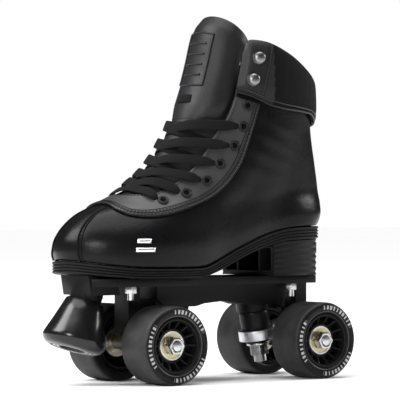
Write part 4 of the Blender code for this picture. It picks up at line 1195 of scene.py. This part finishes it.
class SKATE_OT_facing(SkateOperator, bpy.types.Operator):
    """Build the eyelet facing with its piping, stitches and eyelets"""

    bl_idname = "skate.facing"
    bl_label = "Facing and eyelets"

    def build(self):
        rows = facing_rows(56, 12)
        half = [[[over_boot(level, back, side, FACING_LIFT) for level, back in row]
                 for row in rows] for side in (1, -1)]
        sheet = outward_sheet("eyelet_facing", half[1][:0:-1] + half[0])
        thicken(sheet, FACING_THICKNESS)
        subdivide(sheet)
        apply_all(sheet)
        finish_piece(sheet, self.paint("facing"), BOOT, ["eyestay"])

        piping = [wire("piping", facing_line(1.0, 0.9), 0.8, 10),
                  wire("piping", facing_line(0.9, FACING_TOP), 0.4),
                  wire("piping", facing_line(0.8, FACING_TOP), 0.3),
                  wire("piping", facing_line(0.0, 1.1), 0.6)]
        trims = join_meshes("facing_piping", piping)
        finish_piece(trims, self.paint("shell"), BOOT)
        lines = [facing_line(part, FACING_TOP + 0.15) for part in (0.95, 0.85, 0.1)]
        seams = stitch_line("facing_stitches", lines, self.paint("thread"), self.look)
        finish_piece(seams, None, BOOT)
        self.eyelets()

    def eyelets(self):
        """Lacquered rings with a rolled lip and a dark barrel, each hole closed by a near-black
        disc of painted shade.
        """
        profile = []
        for n in range(9):
            angle = pi * n / 8
            profile.append((3.1 - 1.15 * cos(angle), 0.25 + 1.1 * sin(angle)))
        profile = [(4.25, 0.0)] + profile[::-1] + [(1.95, -1.6)]
        segments = 28
        points = []
        for i in range(segments):
            angle = 2 * pi * i / segments
            points += [(radius * cos(angle), radius * sin(angle), along)
                       for radius, along in profile]
        ring = local_shape("Eyelet shape", points, turned_faces(segments, len(profile)))
        # A near-black disc in each hole: painted shade
        disc = [(1.97 * cos(2 * pi * n / 20), 1.97 * sin(2 * pi * n / 20), rise)
                for rise in (0.12, -0.3) for n in range(20)]
        ends = [tuple(range(20)), tuple(range(39, 19, -1))]
        floor = local_shape("Hole shape", disc, grid_faces(2, 20, ring=True) + ends)
        for side, side_name in ((1, "outer"), (-1, "inner")):
            places = []
            for y, z in EYELETS:
                level, back = locate(y, z)
                places.append((over_boot(level, back, side, FACING_TOP + 0.1),
                               boot_normal(level, back, side)))
            rings = repeat_shape("rings", ring, places, self.paint("eyelet"))
            holes = repeat_shape("holes", floor, places, self.paint("hole_shade"))
            row = join_meshes(f"eyelet_row_{side_name}", [rings, holes])
            tidy_mesh(row)
            sharpen(row, 50)
            finish_piece(row, None, BOOT, ["eyelets_" + side_name])
        bpy.data.objects.remove(ring, do_unlink=True)
        bpy.data.objects.remove(floor, do_unlink=True)


# ------------------------------------------------------------------ laces

RUN_STEPS = 34
TUCKED = 0.12


def eyelet_places():
    """For each laced eyelet: its level, its distance off centre and the level of its crest."""
    places = []
    for y, z in EYELETS[:LACED_ROWS]:
        level, back = locate(y, z)
        places.append((level, boot_point(level, back).x, lace_crest(y, z)))
    return places


def strand(start, end, side, crossing, look):
    """A lace run from under one facing, over the tongue, and down into the eyelet opposite."""
    points = []
    normals = []
    widths = []
    for n in range(RUN_STEPS + 1):
        mix = TUCKED + (1.0 - TUCKED) * n / RUN_STEPS
        x = side * (start[1] - (end[1] + start[1]) * mix)
        bow = 1 - (2 * mix - 1) ** 2
        level = start[0] + (end[0] - start[0]) * mix
        crest = start[2] + (end[2] - start[2]) * mix
        level += (crest - level) * bow
        way = 1 if x >= 0 else -1
        back = back_at(level, x)
        under = -SHELL - 0.9
        lifted = FACING_TOP + 1.3 + look.lace_thickness / 2
        if mix < 0.5:
            height = under + (crossing - under) * smooth_step(0.14, 0.46, mix)
        else:
            height = crossing + (lifted - crossing) * smooth_step(0.5, 0.76, mix)
            height -= (lifted + 0.4) * smooth_step(0.95, 1.0, mix)
        points.append(over_boot(level, back, way, height))
        normals.append(boot_normal(level, back, way))
        narrow = 1 - 0.6 * smooth_step(0.91, 1.0, mix) - 0.25 * smooth_step(0.2, 0.12, mix)
        widths.append(look.lace_width * narrow)
    return points, normals, widths


class SKATE_OT_laces(SkateOperator, bpy.types.Operator):
    """Build the flat lace, crossed up six pairs of eyelets"""

    bl_idname = "skate.laces"
    bl_label = "Laces"

    def build(self):
        places = eyelet_places()
        runs = []
        for i, (start, end) in enumerate(zip(places, places[1:])):
            for side in (1, -1):
                over = (side > 0) == (i % 2 == 0)
                crossing = 1.3 if over else 0.5
                points, normals, widths = strand(start, end, side, crossing, self.look)
                runs.append(ribbon("run", points, normals, widths, self.look.lace_thickness))
        runs.append(self.bar(places[0]))
        lace = join_meshes("flat_lace", runs)
        finish_piece(lace, self.paint("lace"), BOOT, ["lace"])

    def bar(self, place):
        """The straight run across the lowest pair, down into both eyelets."""
        points = []
        normals = []
        widths = []
        for n in range(41):
            mix = n / 40
            off = abs(2 * mix - 1)
            x = place[1] * (1 - 2 * mix)
            bow = 1 - (2 * mix - 1) ** 2
            level = place[0] + (place[2] - place[0]) * bow
            way = 1 if x >= 0 else -1
            back = back_at(level, x)
            lifted = FACING_TOP + 1.3 + self.look.lace_thickness / 2
            height = 1.0 + (lifted - 1.0) * smooth_step(0.35, 0.75, off)
            height -= (lifted + 0.4) * smooth_step(0.9, 1.0, off)
            points.append(over_boot(level, back, way, height))
            normals.append(boot_normal(level, back, way))
            widths.append(self.look.lace_width * (1 - 0.55 * smooth_step(0.78, 1, off)))
        return ribbon("bar", points, normals, widths, self.look.lace_thickness)


# ------------------------------------------------------------------ tongue and cuff

TONGUE_SEAM = 196
SIDE_SEAM = 0.66


def tongue_point(level, across):
    """A point on the tongue's front: inside the throat low down, round the shin higher up."""
    x = along_line(TONGUE_ROWS, level) * across
    factor = breadth(level, 0.1)
    back = (1 - sqrt(1 - min(abs(x) / factor, 0.99) ** 2)) / 2
    inner = over_boot(level, back, 1 if x >= 0 else -1, -SHELL - 0.8)
    turn = radians(TONGUE_WRAP) * across
    edge = boot_point(level, throat_edge(level))
    front_y = along_line(FRONT_LINE, level, 1)
    drop = TONGUE_DROP * (2 * turn / pi) ** 2 * smooth_step(232, TONGUE_TOP, level)
    free = Vector(((edge.x - TONGUE_INSET) * sin(turn),
                   front_y + (edge.y - front_y) * (1 - cos(turn)), level - drop))
    return inner.lerp(free, smooth_step(188, 208, level))


def tongue_normal(level, across):
    """The tongue's outward direction."""
    side = (tongue_point(level, min(across + 0.02, 1))
            - tongue_point(level, max(across - 0.02, -1)))
    up = tongue_point(min(level + 1, TONGUE_TOP), across) - tongue_point(level - 1, across)
    return side.cross(up).normalized()


def over_tongue(level, across, height):
    """A place above the tongue's front."""
    return tongue_point(level, across) + tongue_normal(level, across) * height


def tongue_puff(level, across):
    """How far the padding stands out, in millimetres, with sewn channels between the pads."""
    rim = 1 - min(abs(across), 1) ** 6
    seam = min(abs(level - TONGUE_SEAM) / 3.2, 1) ** 0.6
    top_seam = min(abs(TONGUE_TOP - 5 - level) / 2.6, 1) ** 0.6
    side_seam = min(abs(abs(across) - SIDE_SEAM) / 0.07, 1) ** 0.7
    free = smooth_step(186, 206, level)
    under_laces = 2.7 * (1 - smooth_step(0.35, 0.8, abs(across))) * smooth_step(138, 146, level)
    return (free * (1.1 * rim * seam * top_seam * (0.5 + 0.5 * side_seam)) - 0.7 * (1 - rim)
            + under_laces * (1 - free))


class SKATE_OT_tongue(SkateOperator, bpy.types.Operator):
    """Build the padded tongue with its seams, lining and lace keeper"""

    bl_idname = "skate.tongue"
    bl_label = "Tongue"

    def build(self):
        levels = [135 + (TONGUE_TOP - 135) * n / 70 for n in range(71)]
        half = TONGUE_THICKNESS / 2
        columns = 34
        front = [(-1 + 2 * n / (columns - 1), 1) for n in range(columns)]
        ring = front + [(across, -1) for across, _ in front[::-1]]
        points = []
        held = []
        for level in levels:
            end = smooth_step(TONGUE_TOP, TONGUE_TOP - 6, level) * smooth_step(135, 139, level)
            for across, face in ring:
                edge = 1 - abs(across) ** 14 * 0.55
                depth = half * edge * (0.35 + 0.65 * end)
                lift = depth - half + tongue_puff(level, across) if face > 0 else -half - depth
                points.append(over_tongue(level, across, lift))
                seam = abs(level - TONGUE_SEAM) < 1.6 or abs(abs(across) - SIDE_SEAM) < 0.035
                free = level > 200 and abs(across) < 0.93 and level < TONGUE_TOP - 3
                held.append(0.0 if face > 0 and free and not seam else 1.0)
        faces = grid_faces(len(levels), len(ring), ring=True)
        for first in (0, (len(levels) - 1) * len(ring)):
            for n in range(columns - 1):
                low, high = first + n, first + len(ring) - 1 - n
                faces.append((low, low + 1, high - 1, high))
        tongue = make_piece("padded_tongue", points, faces)
        tidy_mesh(tongue)
        inflate(tongue, held, 0.9)
        subdivide(tongue)
        apply_all(tongue)
        tongue.data.materials.append(self.paint("soft"))
        tongue.data.materials.append(self.paint("lining"))
        middle = world_place((0, along_line(FRONT_LINE, 250, 1) + 30, 250))
        for face in tongue.data.polygons:
            towards = middle - face.center
            towards.z = 0
            face.material_index = 1 if face.normal.dot(towards.normalized()) > -0.2 else 0
        finish_piece(tongue, None, BOOT, ["tongue"])
        self.seams()
        self.emboss()
        self.keeper()

    def seams(self):
        """Stitches along the tongue's channels and round its edge."""
        def line(pairs):
            return [over_tongue(level, across, tongue_puff(level, across) + 0.12)
                    for level, across in pairs]

        lines = []
        for level in (195, 197.2):
            lines.append(line([(level, -0.9 + 1.8 * n / 30) for n in range(31)]))
        edge = [(200 + n * 2, SIDE_SEAM) for n in range(36)]
        arch = [(TONGUE_TOP - 5, SIDE_SEAM * (1 - n / 10)) for n in range(1, 20)]
        other = [(level, -across) for level, across in edge[::-1]]
        lines.append(line(edge + arch + other))
        seams = stitch_line("tongue_stitches", lines, self.paint("thread"), self.look)
        finish_piece(seams, None, BOOT)

    def emboss(self):
        """A plain raised frame round four level bars, pressed into the tongue's front."""
        ribs = []
        corners = [(222, 0.3), (222, -0.3), (262, -0.3), (262, 0.3), (222, 0.3)]
        frame_line = []
        for start, end in zip(corners, corners[1:]):
            frame_line += [(start[0] + (end[0] - start[0]) * n / 12,
                            start[1] + (end[1] - start[1]) * n / 12) for n in range(12)]
        rows = [frame_line + [corners[-1]]]
        for level in (230, 238, 246, 254):
            rows.append([(level, -0.2 + 0.4 * n / 12) for n in range(13)])
        for row in rows:
            points = [over_tongue(level, across, tongue_puff(level, across) + 0.35)
                      for level, across in row]
            ribs.append(wire("rib", points, 0.75))
        emboss = join_meshes("tongue_emboss", ribs)
        finish_piece(emboss, self.paint("soft"), BOOT)

    def keeper(self):
        """A short webbing loop that holds the lace to the tongue."""
        points = []
        normals = []
        level = 211.5
        for n in range(17):
            across = -0.17 + 0.34 * n / 16
            normals.append(tongue_normal(level, across))
            points.append(over_tongue(level, across, 1.0 + 1.2 * sin(pi * n / 16)))
        loop = ribbon("lace_keeper", points, normals, [6.5] * 17, 1.1)
        finish_piece(loop, self.paint("lace"), BOOT, ["lace_loop"])


TAB_SEAM = 0.375
TAB_LEAN = 0.03


def cuff_place(back, rise, side, height):
    """A place over the cuff: rise runs from its lower edge to its rim."""
    low = along_line(CUFF_LOW, back)
    level = low + (along_line(CUFF_RIM, back) - low) * rise
    return over_boot(level, back, side, height)


def cuff_bulge(rise):
    """How thick the padding is from the lower edge to the rim."""
    return CUFF_THICKNESS * (1 - abs(2 * rise - 1) ** 5 * 0.75)


class SKATE_OT_cuff(SkateOperator, bpy.types.Operator):
    """Build the padded cuff with its leather front tabs, binding and hooks"""

    bl_idname = "skate.cuff"
    bl_label = "Cuff"

    def build(self):
        count = 48
        backs = spread(CUFF_FRONT, 1, count)
        ring = [(n / 13, 1) for n in range(14)] + [(1 - n / 13, 0) for n in range(14)]
        points = []
        held = []
        rows = [(back, 1) for back in backs] + [(back, -1) for back in backs[-2::-1]]
        for i, (back, side) in enumerate(rows):
            from_end = min(i, len(rows) - 1 - i)
            swell = 1 - 0.7 * (1 - smooth_step(0, 2.5, from_end))
            pucker = 0.25 * sin(i * 1.9) * smooth_step(6, 10, from_end)
            for rise, outer in ring:
                lift = FACING_LIFT + 0.1
                if outer:
                    lift += cuff_bulge(rise) * swell + pucker * sin(pi * rise)
                points.append(cuff_place(back, 0.015 + 0.97 * rise, side, lift))
                free = outer and 0.12 < rise < 0.96 and from_end > 2 and abs(back - 0.39) > 0.02
                held.append(0.0 if free else 1.0)
        faces = grid_faces(len(rows), len(ring), ring=True, caps=True)
        cuff = make_piece("padded_cuff", points, faces)
        tidy_mesh(cuff)
        inflate(cuff, held, 1.2)
        subdivide(cuff)
        apply_all(cuff)
        cuff.data.materials.append(self.paint("cloth"))
        cuff.data.materials.append(self.paint("soft"))
        seam_y = world_place((0, 27, 0)).y
        for face in cuff.data.polygons:
            face.material_index = 1 if face.center.y < seam_y else 0
        finish_piece(cuff, None, BOOT, ["cuff"])
        self.trims()
        self.hooks()

    def trims(self):
        """Double binding along the lower edge, and the tab's seam."""
        def around(rise, height, count=60):
            backs = spread(CUFF_FRONT + 0.001, 1, count)
            near = [cuff_place(back, rise, 1, height) for back in backs]
            far = [cuff_place(back, rise, -1, height) for back in backs]
            return near + far[-2::-1]

        skin = FACING_LIFT + 0.1
        pieces = [wire("binding", around(0.03, skin + CUFF_THICKNESS * 0.55), 0.75),
                  wire("binding", around(0.1, skin + cuff_bulge(0.1) + 0.05), 0.6)]
        for side in (1, -1):
            tab = []
            for n in range(24):
                rise = 0.1 + 0.86 * n / 23
                tab.append(cuff_place(TAB_SEAM + TAB_LEAN * rise, rise, side,
                                      skin + cuff_bulge(rise) + 0.05))
            pieces.append(wire("tab_seam", tab, 0.5))
        trims = join_meshes("cuff_binding", pieces)
        finish_piece(trims, self.paint("soft"), BOOT)
        lines = [around(0.065, skin + cuff_bulge(0.065) + 0.1),
                 around(0.14, skin + cuff_bulge(0.14) + 0.1)]
        for side in (1, -1):
            for shift in (-0.012, 0.012):
                lines.append([cuff_place(TAB_SEAM + shift + TAB_LEAN * rise, rise, side,
                                         skin + cuff_bulge(rise) + 0.12)
                              for rise in [0.12 + 0.82 * n / 24 for n in range(25)]])
        seams = stitch_line("cuff_stitches", lines, self.paint("thread"), self.look)
        finish_piece(seams, None, BOOT)

    def hooks(self):
        """Speed hooks: a riveted foot, a neck and a domed head."""
        dome = [(0, 0), (4.6, 0), (4.8, 0.3), (4.6, 0.8), (2.4, 1.1), (2.1, 1.7), (2.1, 3.0),
                (2.6, 3.5), (3.8, 3.8), (4.25, 4.2), (4.1, 4.8), (3.2, 5.5), (1.8, 5.9), (0, 6.0)]
        for place, height_name in zip(HOOKS, ("lower", "upper")):
            for side, side_name in ((1, "outer"), (-1, "inner")):
                level, back = locate(*place)
                base = FACING_LIFT + CUFF_THICKNESS + 0.3
                hook = turned(f"speed_hook_{height_name}_{side_name}", dome,
                              over_boot(level, back, side, base),
                              boot_normal(level, back, side), 40)
                finish_piece(hook, self.paint("hook"), BOOT,
                             [f"{height_name}_hook_{side_name}"])


# ------------------------------------------------------------------ sole


class SKATE_OT_sole(SkateOperator, bpy.types.Operator):
    """Build the ribbed sole, and finish the heel block, its button and screw"""

    bl_idname = "skate.sole"
    bl_label = "Sole and heel"

    def build(self):
        ribs = 4
        steps = 6 * ribs
        rings = []
        for i in range(steps + 1):
            phase = i / steps
            wave = max(sin(2 * pi * ribs * phase - pi / 2) * 0.5 + 0.5, 0) ** 0.55
            lip = 0.9 * smooth_step(0.9, 0.97, phase)
            ring = []
            for point in sole_outline(0.4 + max(wave, lip)):
                low = along_line(SOLE_BOTTOM, point.y)
                high = along_line(SOLE_TOP, point.y) - 0.45
                ring.append((point.x, point.y, low + (high - low) * phase))
            rings.append(ring)
        sole = loft("ribbed_outsole", rings)
        finish_piece(sole, self.paint("sole"), BOOT, ["outsole"])
        self.refine("grooved_heel", "heel_block", 0.25, "sole", "black_nylon")
        self.refine("heel_push_button", "size_button", 1.2, "nylon", "black_nylon", "button")
        self.refine("heel_screw", "latch_screw", 0.3, "steel", "bright_steel")
        spring = self.refine("heel_spring", "button_spring", 0, "steel", "bright_steel")
        seat = middle_of("button_spring")
        length = size_of("button_spring").y
        seat.y -= length / 2
        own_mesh(spring)


# ------------------------------------------------------------------ wheels

class SKATE_OT_wheels(SkateOperator, bpy.types.Operator):
    """Build the four wheels: tyre, spoked hub, bearings and nut"""

    bl_idname = "skate.wheels"
    bl_label = "Wheels"

    def build(self):
        for name, centre in WHEELS.items():
            side = 1 if centre.x > 0 else -1
            local = Vector((centre.x, centre.y - MID_Y, centre.z))
            body = name + "_wheel"
            self.tyre(name, local, side, body)
            self.hub(name, local, side, body)
            self.bearings(name, local, side, body)
            self.refine(name + "_lock_nut", name + "_axle_nut", 0.5, "steel", "bright_steel",
                        name.split("_")[0] + "_truck")

    def tyre(self, name, centre, side, body):
        """A wide tyre with rounded shoulders."""
        half = WHEEL_WIDTH / 2
        bore = RIM_RADIUS + 0.15
        profile = [(bore, -half + 2.2), (bore + 1.2, -half + 0.9), (WHEEL_RADIUS - 2.6, -half),
                   (WHEEL_RADIUS, -half + 2.8), (WHEEL_RADIUS, half - 2.8),
                   (WHEEL_RADIUS - 2.6, half), (bore + 1.2, half - 0.9), (bore, half - 2.2)]
        tyre = turned(name + "_urethane_tyre", rounded(profile, 2.2, 4), centre, (side, 0, 0), 112)
        material = tyre_finish(f"Urethane {name}", centre, side, self.look)
        finish_piece(tyre, material, body, [name + "_tyre"])

    def hub(self, name, centre, side, body):
        """A core tube, a set-back web and a rim, with spokes across the gap between them."""
        half = WHEEL_WIDTH / 2 - 2
        seat = BEARING_RADIUS + 0.1
        core = seat + 1.8
        rim = RIM_RADIUS - 2.2
        short = BEARING_SPREAD / 2 - 0.2
        profile = [(seat, -short), (core, -short), (core, -5), (rim, -5), (rim, -half),
                   (RIM_RADIUS, -half), (RIM_RADIUS, half), (rim, half), (rim, 5), (core, 5),
                   (core, short), (seat, short)]
        hub = turned(name + "_hub_body", rounded(profile, 0.5, 2), centre, (side, 0, 0), 84)
        middle = (core + rim) / 2
        length = rim - core + 1.6
        top = short - 0.8
        outline = [(-0.95, 0), (-0.7, 1), (0.7, 1), (0.95, 0)]
        points = [(across, (4 + (reach - 4) * out) * flip, radial) for flip in (1, -1)
                  for radial, reach in ((-length / 2, top), (length / 2, half - 1.5))
                  for across, out in outline]
        faces = []
        for first in (0, 8):
            faces += [(first + a, first + b, first + 4 + b, first + 4 + a)
                      for a, b in ((0, 1), (1, 2), (2, 3), (3, 0))]
            faces += [(first, first + 3, first + 2, first + 1),
                      (first + 4, first + 5, first + 6, first + 7)]
        pieces = [hub]
        for i in range(self.look.spoke_count):
            angle = 2 * pi * (i + 0.5) / self.look.spoke_count
            turn = Matrix.Rotation(angle, 3, "X")
            placed = []
            for across, along, radial in points:
                placed.append(centre + turn @ Vector((along, across, middle + radial)))
            spoke = make_piece("spoke", placed, faces)
            tidy_mesh(spoke)
            round_edges(spoke, 0.3)
            apply_all(spoke)
            sharpen(spoke)
            pieces.append(spoke)
        joined = join_meshes(name + "_spoked_hub", pieces)
        finish_piece(joined, self.paint("hub"), body, [name + "_hub"])

    def bearings(self, name, centre, side, body):
        """Two shielded bearings with stepped races, and the spacer between them."""
        end = BEARING_SPREAD / 2
        inner = end - 7
        bore = AXLE_RADIUS + 0.25
        face = [(BEARING_RADIUS, end - 0.3), (BEARING_RADIUS - 0.3, end), (9.6, end),
                (9.4, end - 0.5), (6.6, end - 0.5), (6.4, end), (bore + 0.3, end),
                (bore, end - 0.3)]
        profile = face + [(radius, -along) for radius, along in face[::-1]]
        profile += [(BEARING_RADIUS, -inner), (bore + 1.8, -inner), (bore + 1.8, inner),
                    (BEARING_RADIUS, inner)]
        pair = turned(name + "_bearing_pair", profile, centre, (side, 0, 0), 72)
        material = bearing_finish(f"Bearing steel {name}", centre)
        finish_piece(pair, material, body, [name + "_bearings"])


# ------------------------------------------------------------------ chassis

KINGPIN_LEAN = 10
RING_INSET = 27.4
RING_RISE = 4


class SKATE_OT_trucks(SkateOperator, bpy.types.Operator):
    """Finish both trucks: hanger, axle, kingpin, cushions, washer, nut and pivot cup"""

    bl_idname = "skate.trucks"
    bl_label = "Trucks"

    def build(self):
        for end in ("front", "rear"):
            truck = end + "_truck"
            self.refine(f"{end}_cast_hanger", truck + "_hanger", 0.5, "alloy", "cast_alloy", truck)
            for node, name, body, rounding in (("axle", "steel_axle", truck, 0.4),
                                               ("kingpin", "kingpin_bolt", BOOT, 0.6),
                                               ("kingpin_nut", "kingpin_locknut", BOOT, 0.5),
                                               ("cushion_washer", "cup_washer", BOOT, 0.4)):
                self.refine(f"{end}_{name}", f"{truck}_{node}", rounding, "steel",
                            "bright_steel", body)
            self.cushions(end, truck)
            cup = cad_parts[truck + "_pivot_cup"].data
            cup.materials.clear()
            cup.materials.append(self.paint("cushion"))

    def cushions(self, end, truck):
        """Barrel-shaped urethane cushions that bulge a little under load."""
        way = 1 if end == "rear" else -1
        lean = radians(KINGPIN_LEAN)
        up = Vector((0, -way * sin(lean), cos(lean)))
        ring = Vector((0, way * (AXLE_Y - RING_INSET), WHEELS["rear_outer"].z + RING_RISE))
        for part, low, high, radius, far, keep in (("upper", 4.1, 18.6, 11.7, 18.6, 0.84),
                                                   ("lower", -5.9, -4.1, 9.0, -5.9, 0.2)):
            bulge = 0.35 if part == "upper" else 0.1
            profile = [(5.1, low), (radius - 0.9, low), (radius - 0.3, low + (high - low) * 0.12),
                       (radius + bulge - 0.3, (low + high) / 2),
                       (radius - 0.3, high - (high - low) * 0.12), (radius - 0.9, high),
                       (5.1, high)]
            cushion = turned(f"{end}_{part}_urethane", rounded(profile, 1.2, 3), ring, up, 56)
            finish_piece(cushion, self.paint("cushion"), BOOT,
                         [f"{truck}_{part}_cushion"])
            tuple(world_place(ring + up * far))
            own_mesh(cushion)


STOP_TILT = 18
STOP_REACH = 47
STOP_HEIGHT = 61.6


class SKATE_OT_plate(SkateOperator, bpy.types.Operator):
    """Finish the plate, its mounting bolts and the toe stop"""

    bl_idname = "skate.plate"
    bl_label = "Plate and toe stop"

    def build(self):
        self.refine("nylon_plate", "plate", 0.7, "nylon", "black_nylon")
        for end in ("front", "rear"):
            for side in ("outer", "inner"):
                self.refine(f"plate_bolt_{end}_{side}", f"mounting_bolt_{end}_{side}", 0.3,
                            "steel", "bright_steel")
        self.toe_stop()
        self.refine("stop_bolt", "toe_stop_bolt", 0.4, "steel", "bright_steel")

    def toe_stop(self):
        """The flared rubber stop, with a rolled lip, a ringed face and a recess."""
        tilt = radians(STOP_TILT)
        top = Vector((0, -AXLE_Y - STOP_REACH, STOP_HEIGHT))
        down = Vector((0, -sin(tilt), -cos(tilt)))
        profile = [(4.3, 0), (13.2, 0), (14.1, 0.8), (16.8, 9), (20.2, 19), (23.4, 27.6),
                   (24.0, 30.2), (23.2, 33.2), (21.0, 35.6), (18.4, 36.7), (16.6, 37),
                   (16.2, 36.2), (15.4, 36.2), (15.0, 37), (13.4, 37), (13.0, 36.4), (12.4, 36.4),
                   (12.0, 37), (10.4, 37), (10.0, 36.5), (9.6, 29.4), (9.0, 29), (4.3, 29)]
        stop = turned("rubber_toe_stop", profile, top, down, 120)
        sharpen(stop, 50)
        finish_piece(stop, stop_finish("Polished stop rubber", self.look), BOOT,
                     ["toe_stop"])


# ------------------------------------------------------------------ stage

CAMERA_AZIMUTH = 53.3
CAMERA_HEIGHT = 135.7
CAMERA_SHIFT = 9.4
CAMERA_DISTANCE = 2125

class SKATE_OT_stage(SkateOperator, bpy.types.Operator):
    """Set up the pale floor, the soft lights and the camera"""

    bl_idname = "skate.stage"
    bl_label = "Stage"

    def build(self):
        floor = bpy.data.meshes.new("studio_floor")
        reach = 9.0
        points = [(-reach, -reach, 0), (reach, -reach, 0), (reach, reach, 0), (-reach, reach, 0)]
        floor.from_pydata(points, [], [(0, 1, 2, 3)])
        finish = Finish("Pale floor", (0.94, 0.94, 0.94), 0.8)
        finish.vary(finish.noise(2, 2), 0.01)
        floor.materials.append(finish.material)
        linked("studio_floor", floor)
        self.lights()
        self.camera()

    def lights(self):
        """White to the camera, dim to everything else, with three soft boxes."""
        world = bpy.data.worlds.new("Studio")
        world.use_nodes = True
        tree = world.node_tree
        background = tree.nodes["Background"]
        background.inputs["Color"].default_value = (1, 1, 1, 1)
        path = tree.nodes.new("ShaderNodeLightPath")
        strength = tree.nodes.new("ShaderNodeMapRange")
        strength.inputs["To Min"].default_value = 0.05
        strength.inputs["To Max"].default_value = 1.0
        tree.links.new(path.outputs["Is Camera Ray"], strength.inputs["Value"])
        tree.links.new(strength.outputs["Result"], background.inputs["Strength"])
        scene = bpy.context.scene
        scene.world = world
        scene.view_settings.view_transform = "Standard"
        sky = bpy.data.lights.new("overhead_light", "SUN")
        sky.energy = 3.3
        sky.angle = radians(60)
        linked("overhead_light", sky)
        target = Vector((0, 0, 0.12))
        for name, place, size, power in (("key_light", (-0.5, -1.3, 1.4), 1.0, 40),
                                         ("fill_light", (1.0, -1.5, 0.75), 0.4, 16),
                                         ("rim_light", (0.5, 1.6, 0.8), 0.5, 12)):
            light = bpy.data.lights.new(name, "AREA")
            light.energy = power
            light.size = size
            lamp = linked(name, light)
            lamp.location = place
            away = Vector(place) - target
            lamp.rotation_euler = away.to_track_quat("Z", "Y").to_euler()

    def camera(self):
        """A level camera with a long lens, in front of the skate's outer side."""
        azimuth = radians(CAMERA_AZIMUTH)
        ahead = Vector((-sin(azimuth), cos(azimuth), 0))
        right = Vector((cos(azimuth), sin(azimuth), 0))
        aim = Vector((0, MID_Y, CAMERA_HEIGHT)) - right * CAMERA_SHIFT
        data = bpy.data.cameras.new("camera")
        data.lens = 252
        data.sensor_width = 36
        data.clip_end = 50
        camera = linked("camera", data)
        camera.location = (aim - ahead * CAMERA_DISTANCE) * MM
        camera.rotation_euler = ahead.to_track_quat("-Z", "Y").to_euler()
        bpy.context.scene.camera = camera


OPERATORS = (SKATE_OT_boot, SKATE_OT_facing, SKATE_OT_laces, SKATE_OT_tongue, SKATE_OT_cuff,
             SKATE_OT_sole, SKATE_OT_wheels, SKATE_OT_trucks, SKATE_OT_plate, SKATE_OT_stage)


class SKATE_PT_panel(bpy.types.Panel):
    """The sidebar panel that lists the skate's operators"""

    bl_idname = "SKATE_PT_panel"
    bl_label = "Quad roller skate"
    bl_space_type = "VIEW_3D"
    bl_region_type = "UI"
    bl_category = "Skate"

    def draw(self, context):
        look = context.scene.skate_look
        for name in look.bl_rna.properties.keys():
            if name not in ("rna_type", "name"):
                self.layout.prop(look, name)
        for operator in OPERATORS:
            self.layout.operator(operator.bl_idname)


def register():
    for kind in (SkateLook, *OPERATORS, SKATE_PT_panel):
        bpy.utils.register_class(kind)
    bpy.types.Scene.skate_look = PointerProperty(type=SkateLook)


def unregister():
    del bpy.types.Scene.skate_look
    for kind in (SKATE_PT_panel, *reversed(OPERATORS), SkateLook):
        bpy.utils.unregister_class(kind)


def main():
    register()
    for step in (bpy.ops.skate.boot, bpy.ops.skate.facing, bpy.ops.skate.laces,
                 bpy.ops.skate.tongue, bpy.ops.skate.cuff, bpy.ops.skate.sole,
                 bpy.ops.skate.wheels, bpy.ops.skate.trucks, bpy.ops.skate.plate,
                 bpy.ops.skate.stage):
        step()


if __name__ == "__main__":
    main()
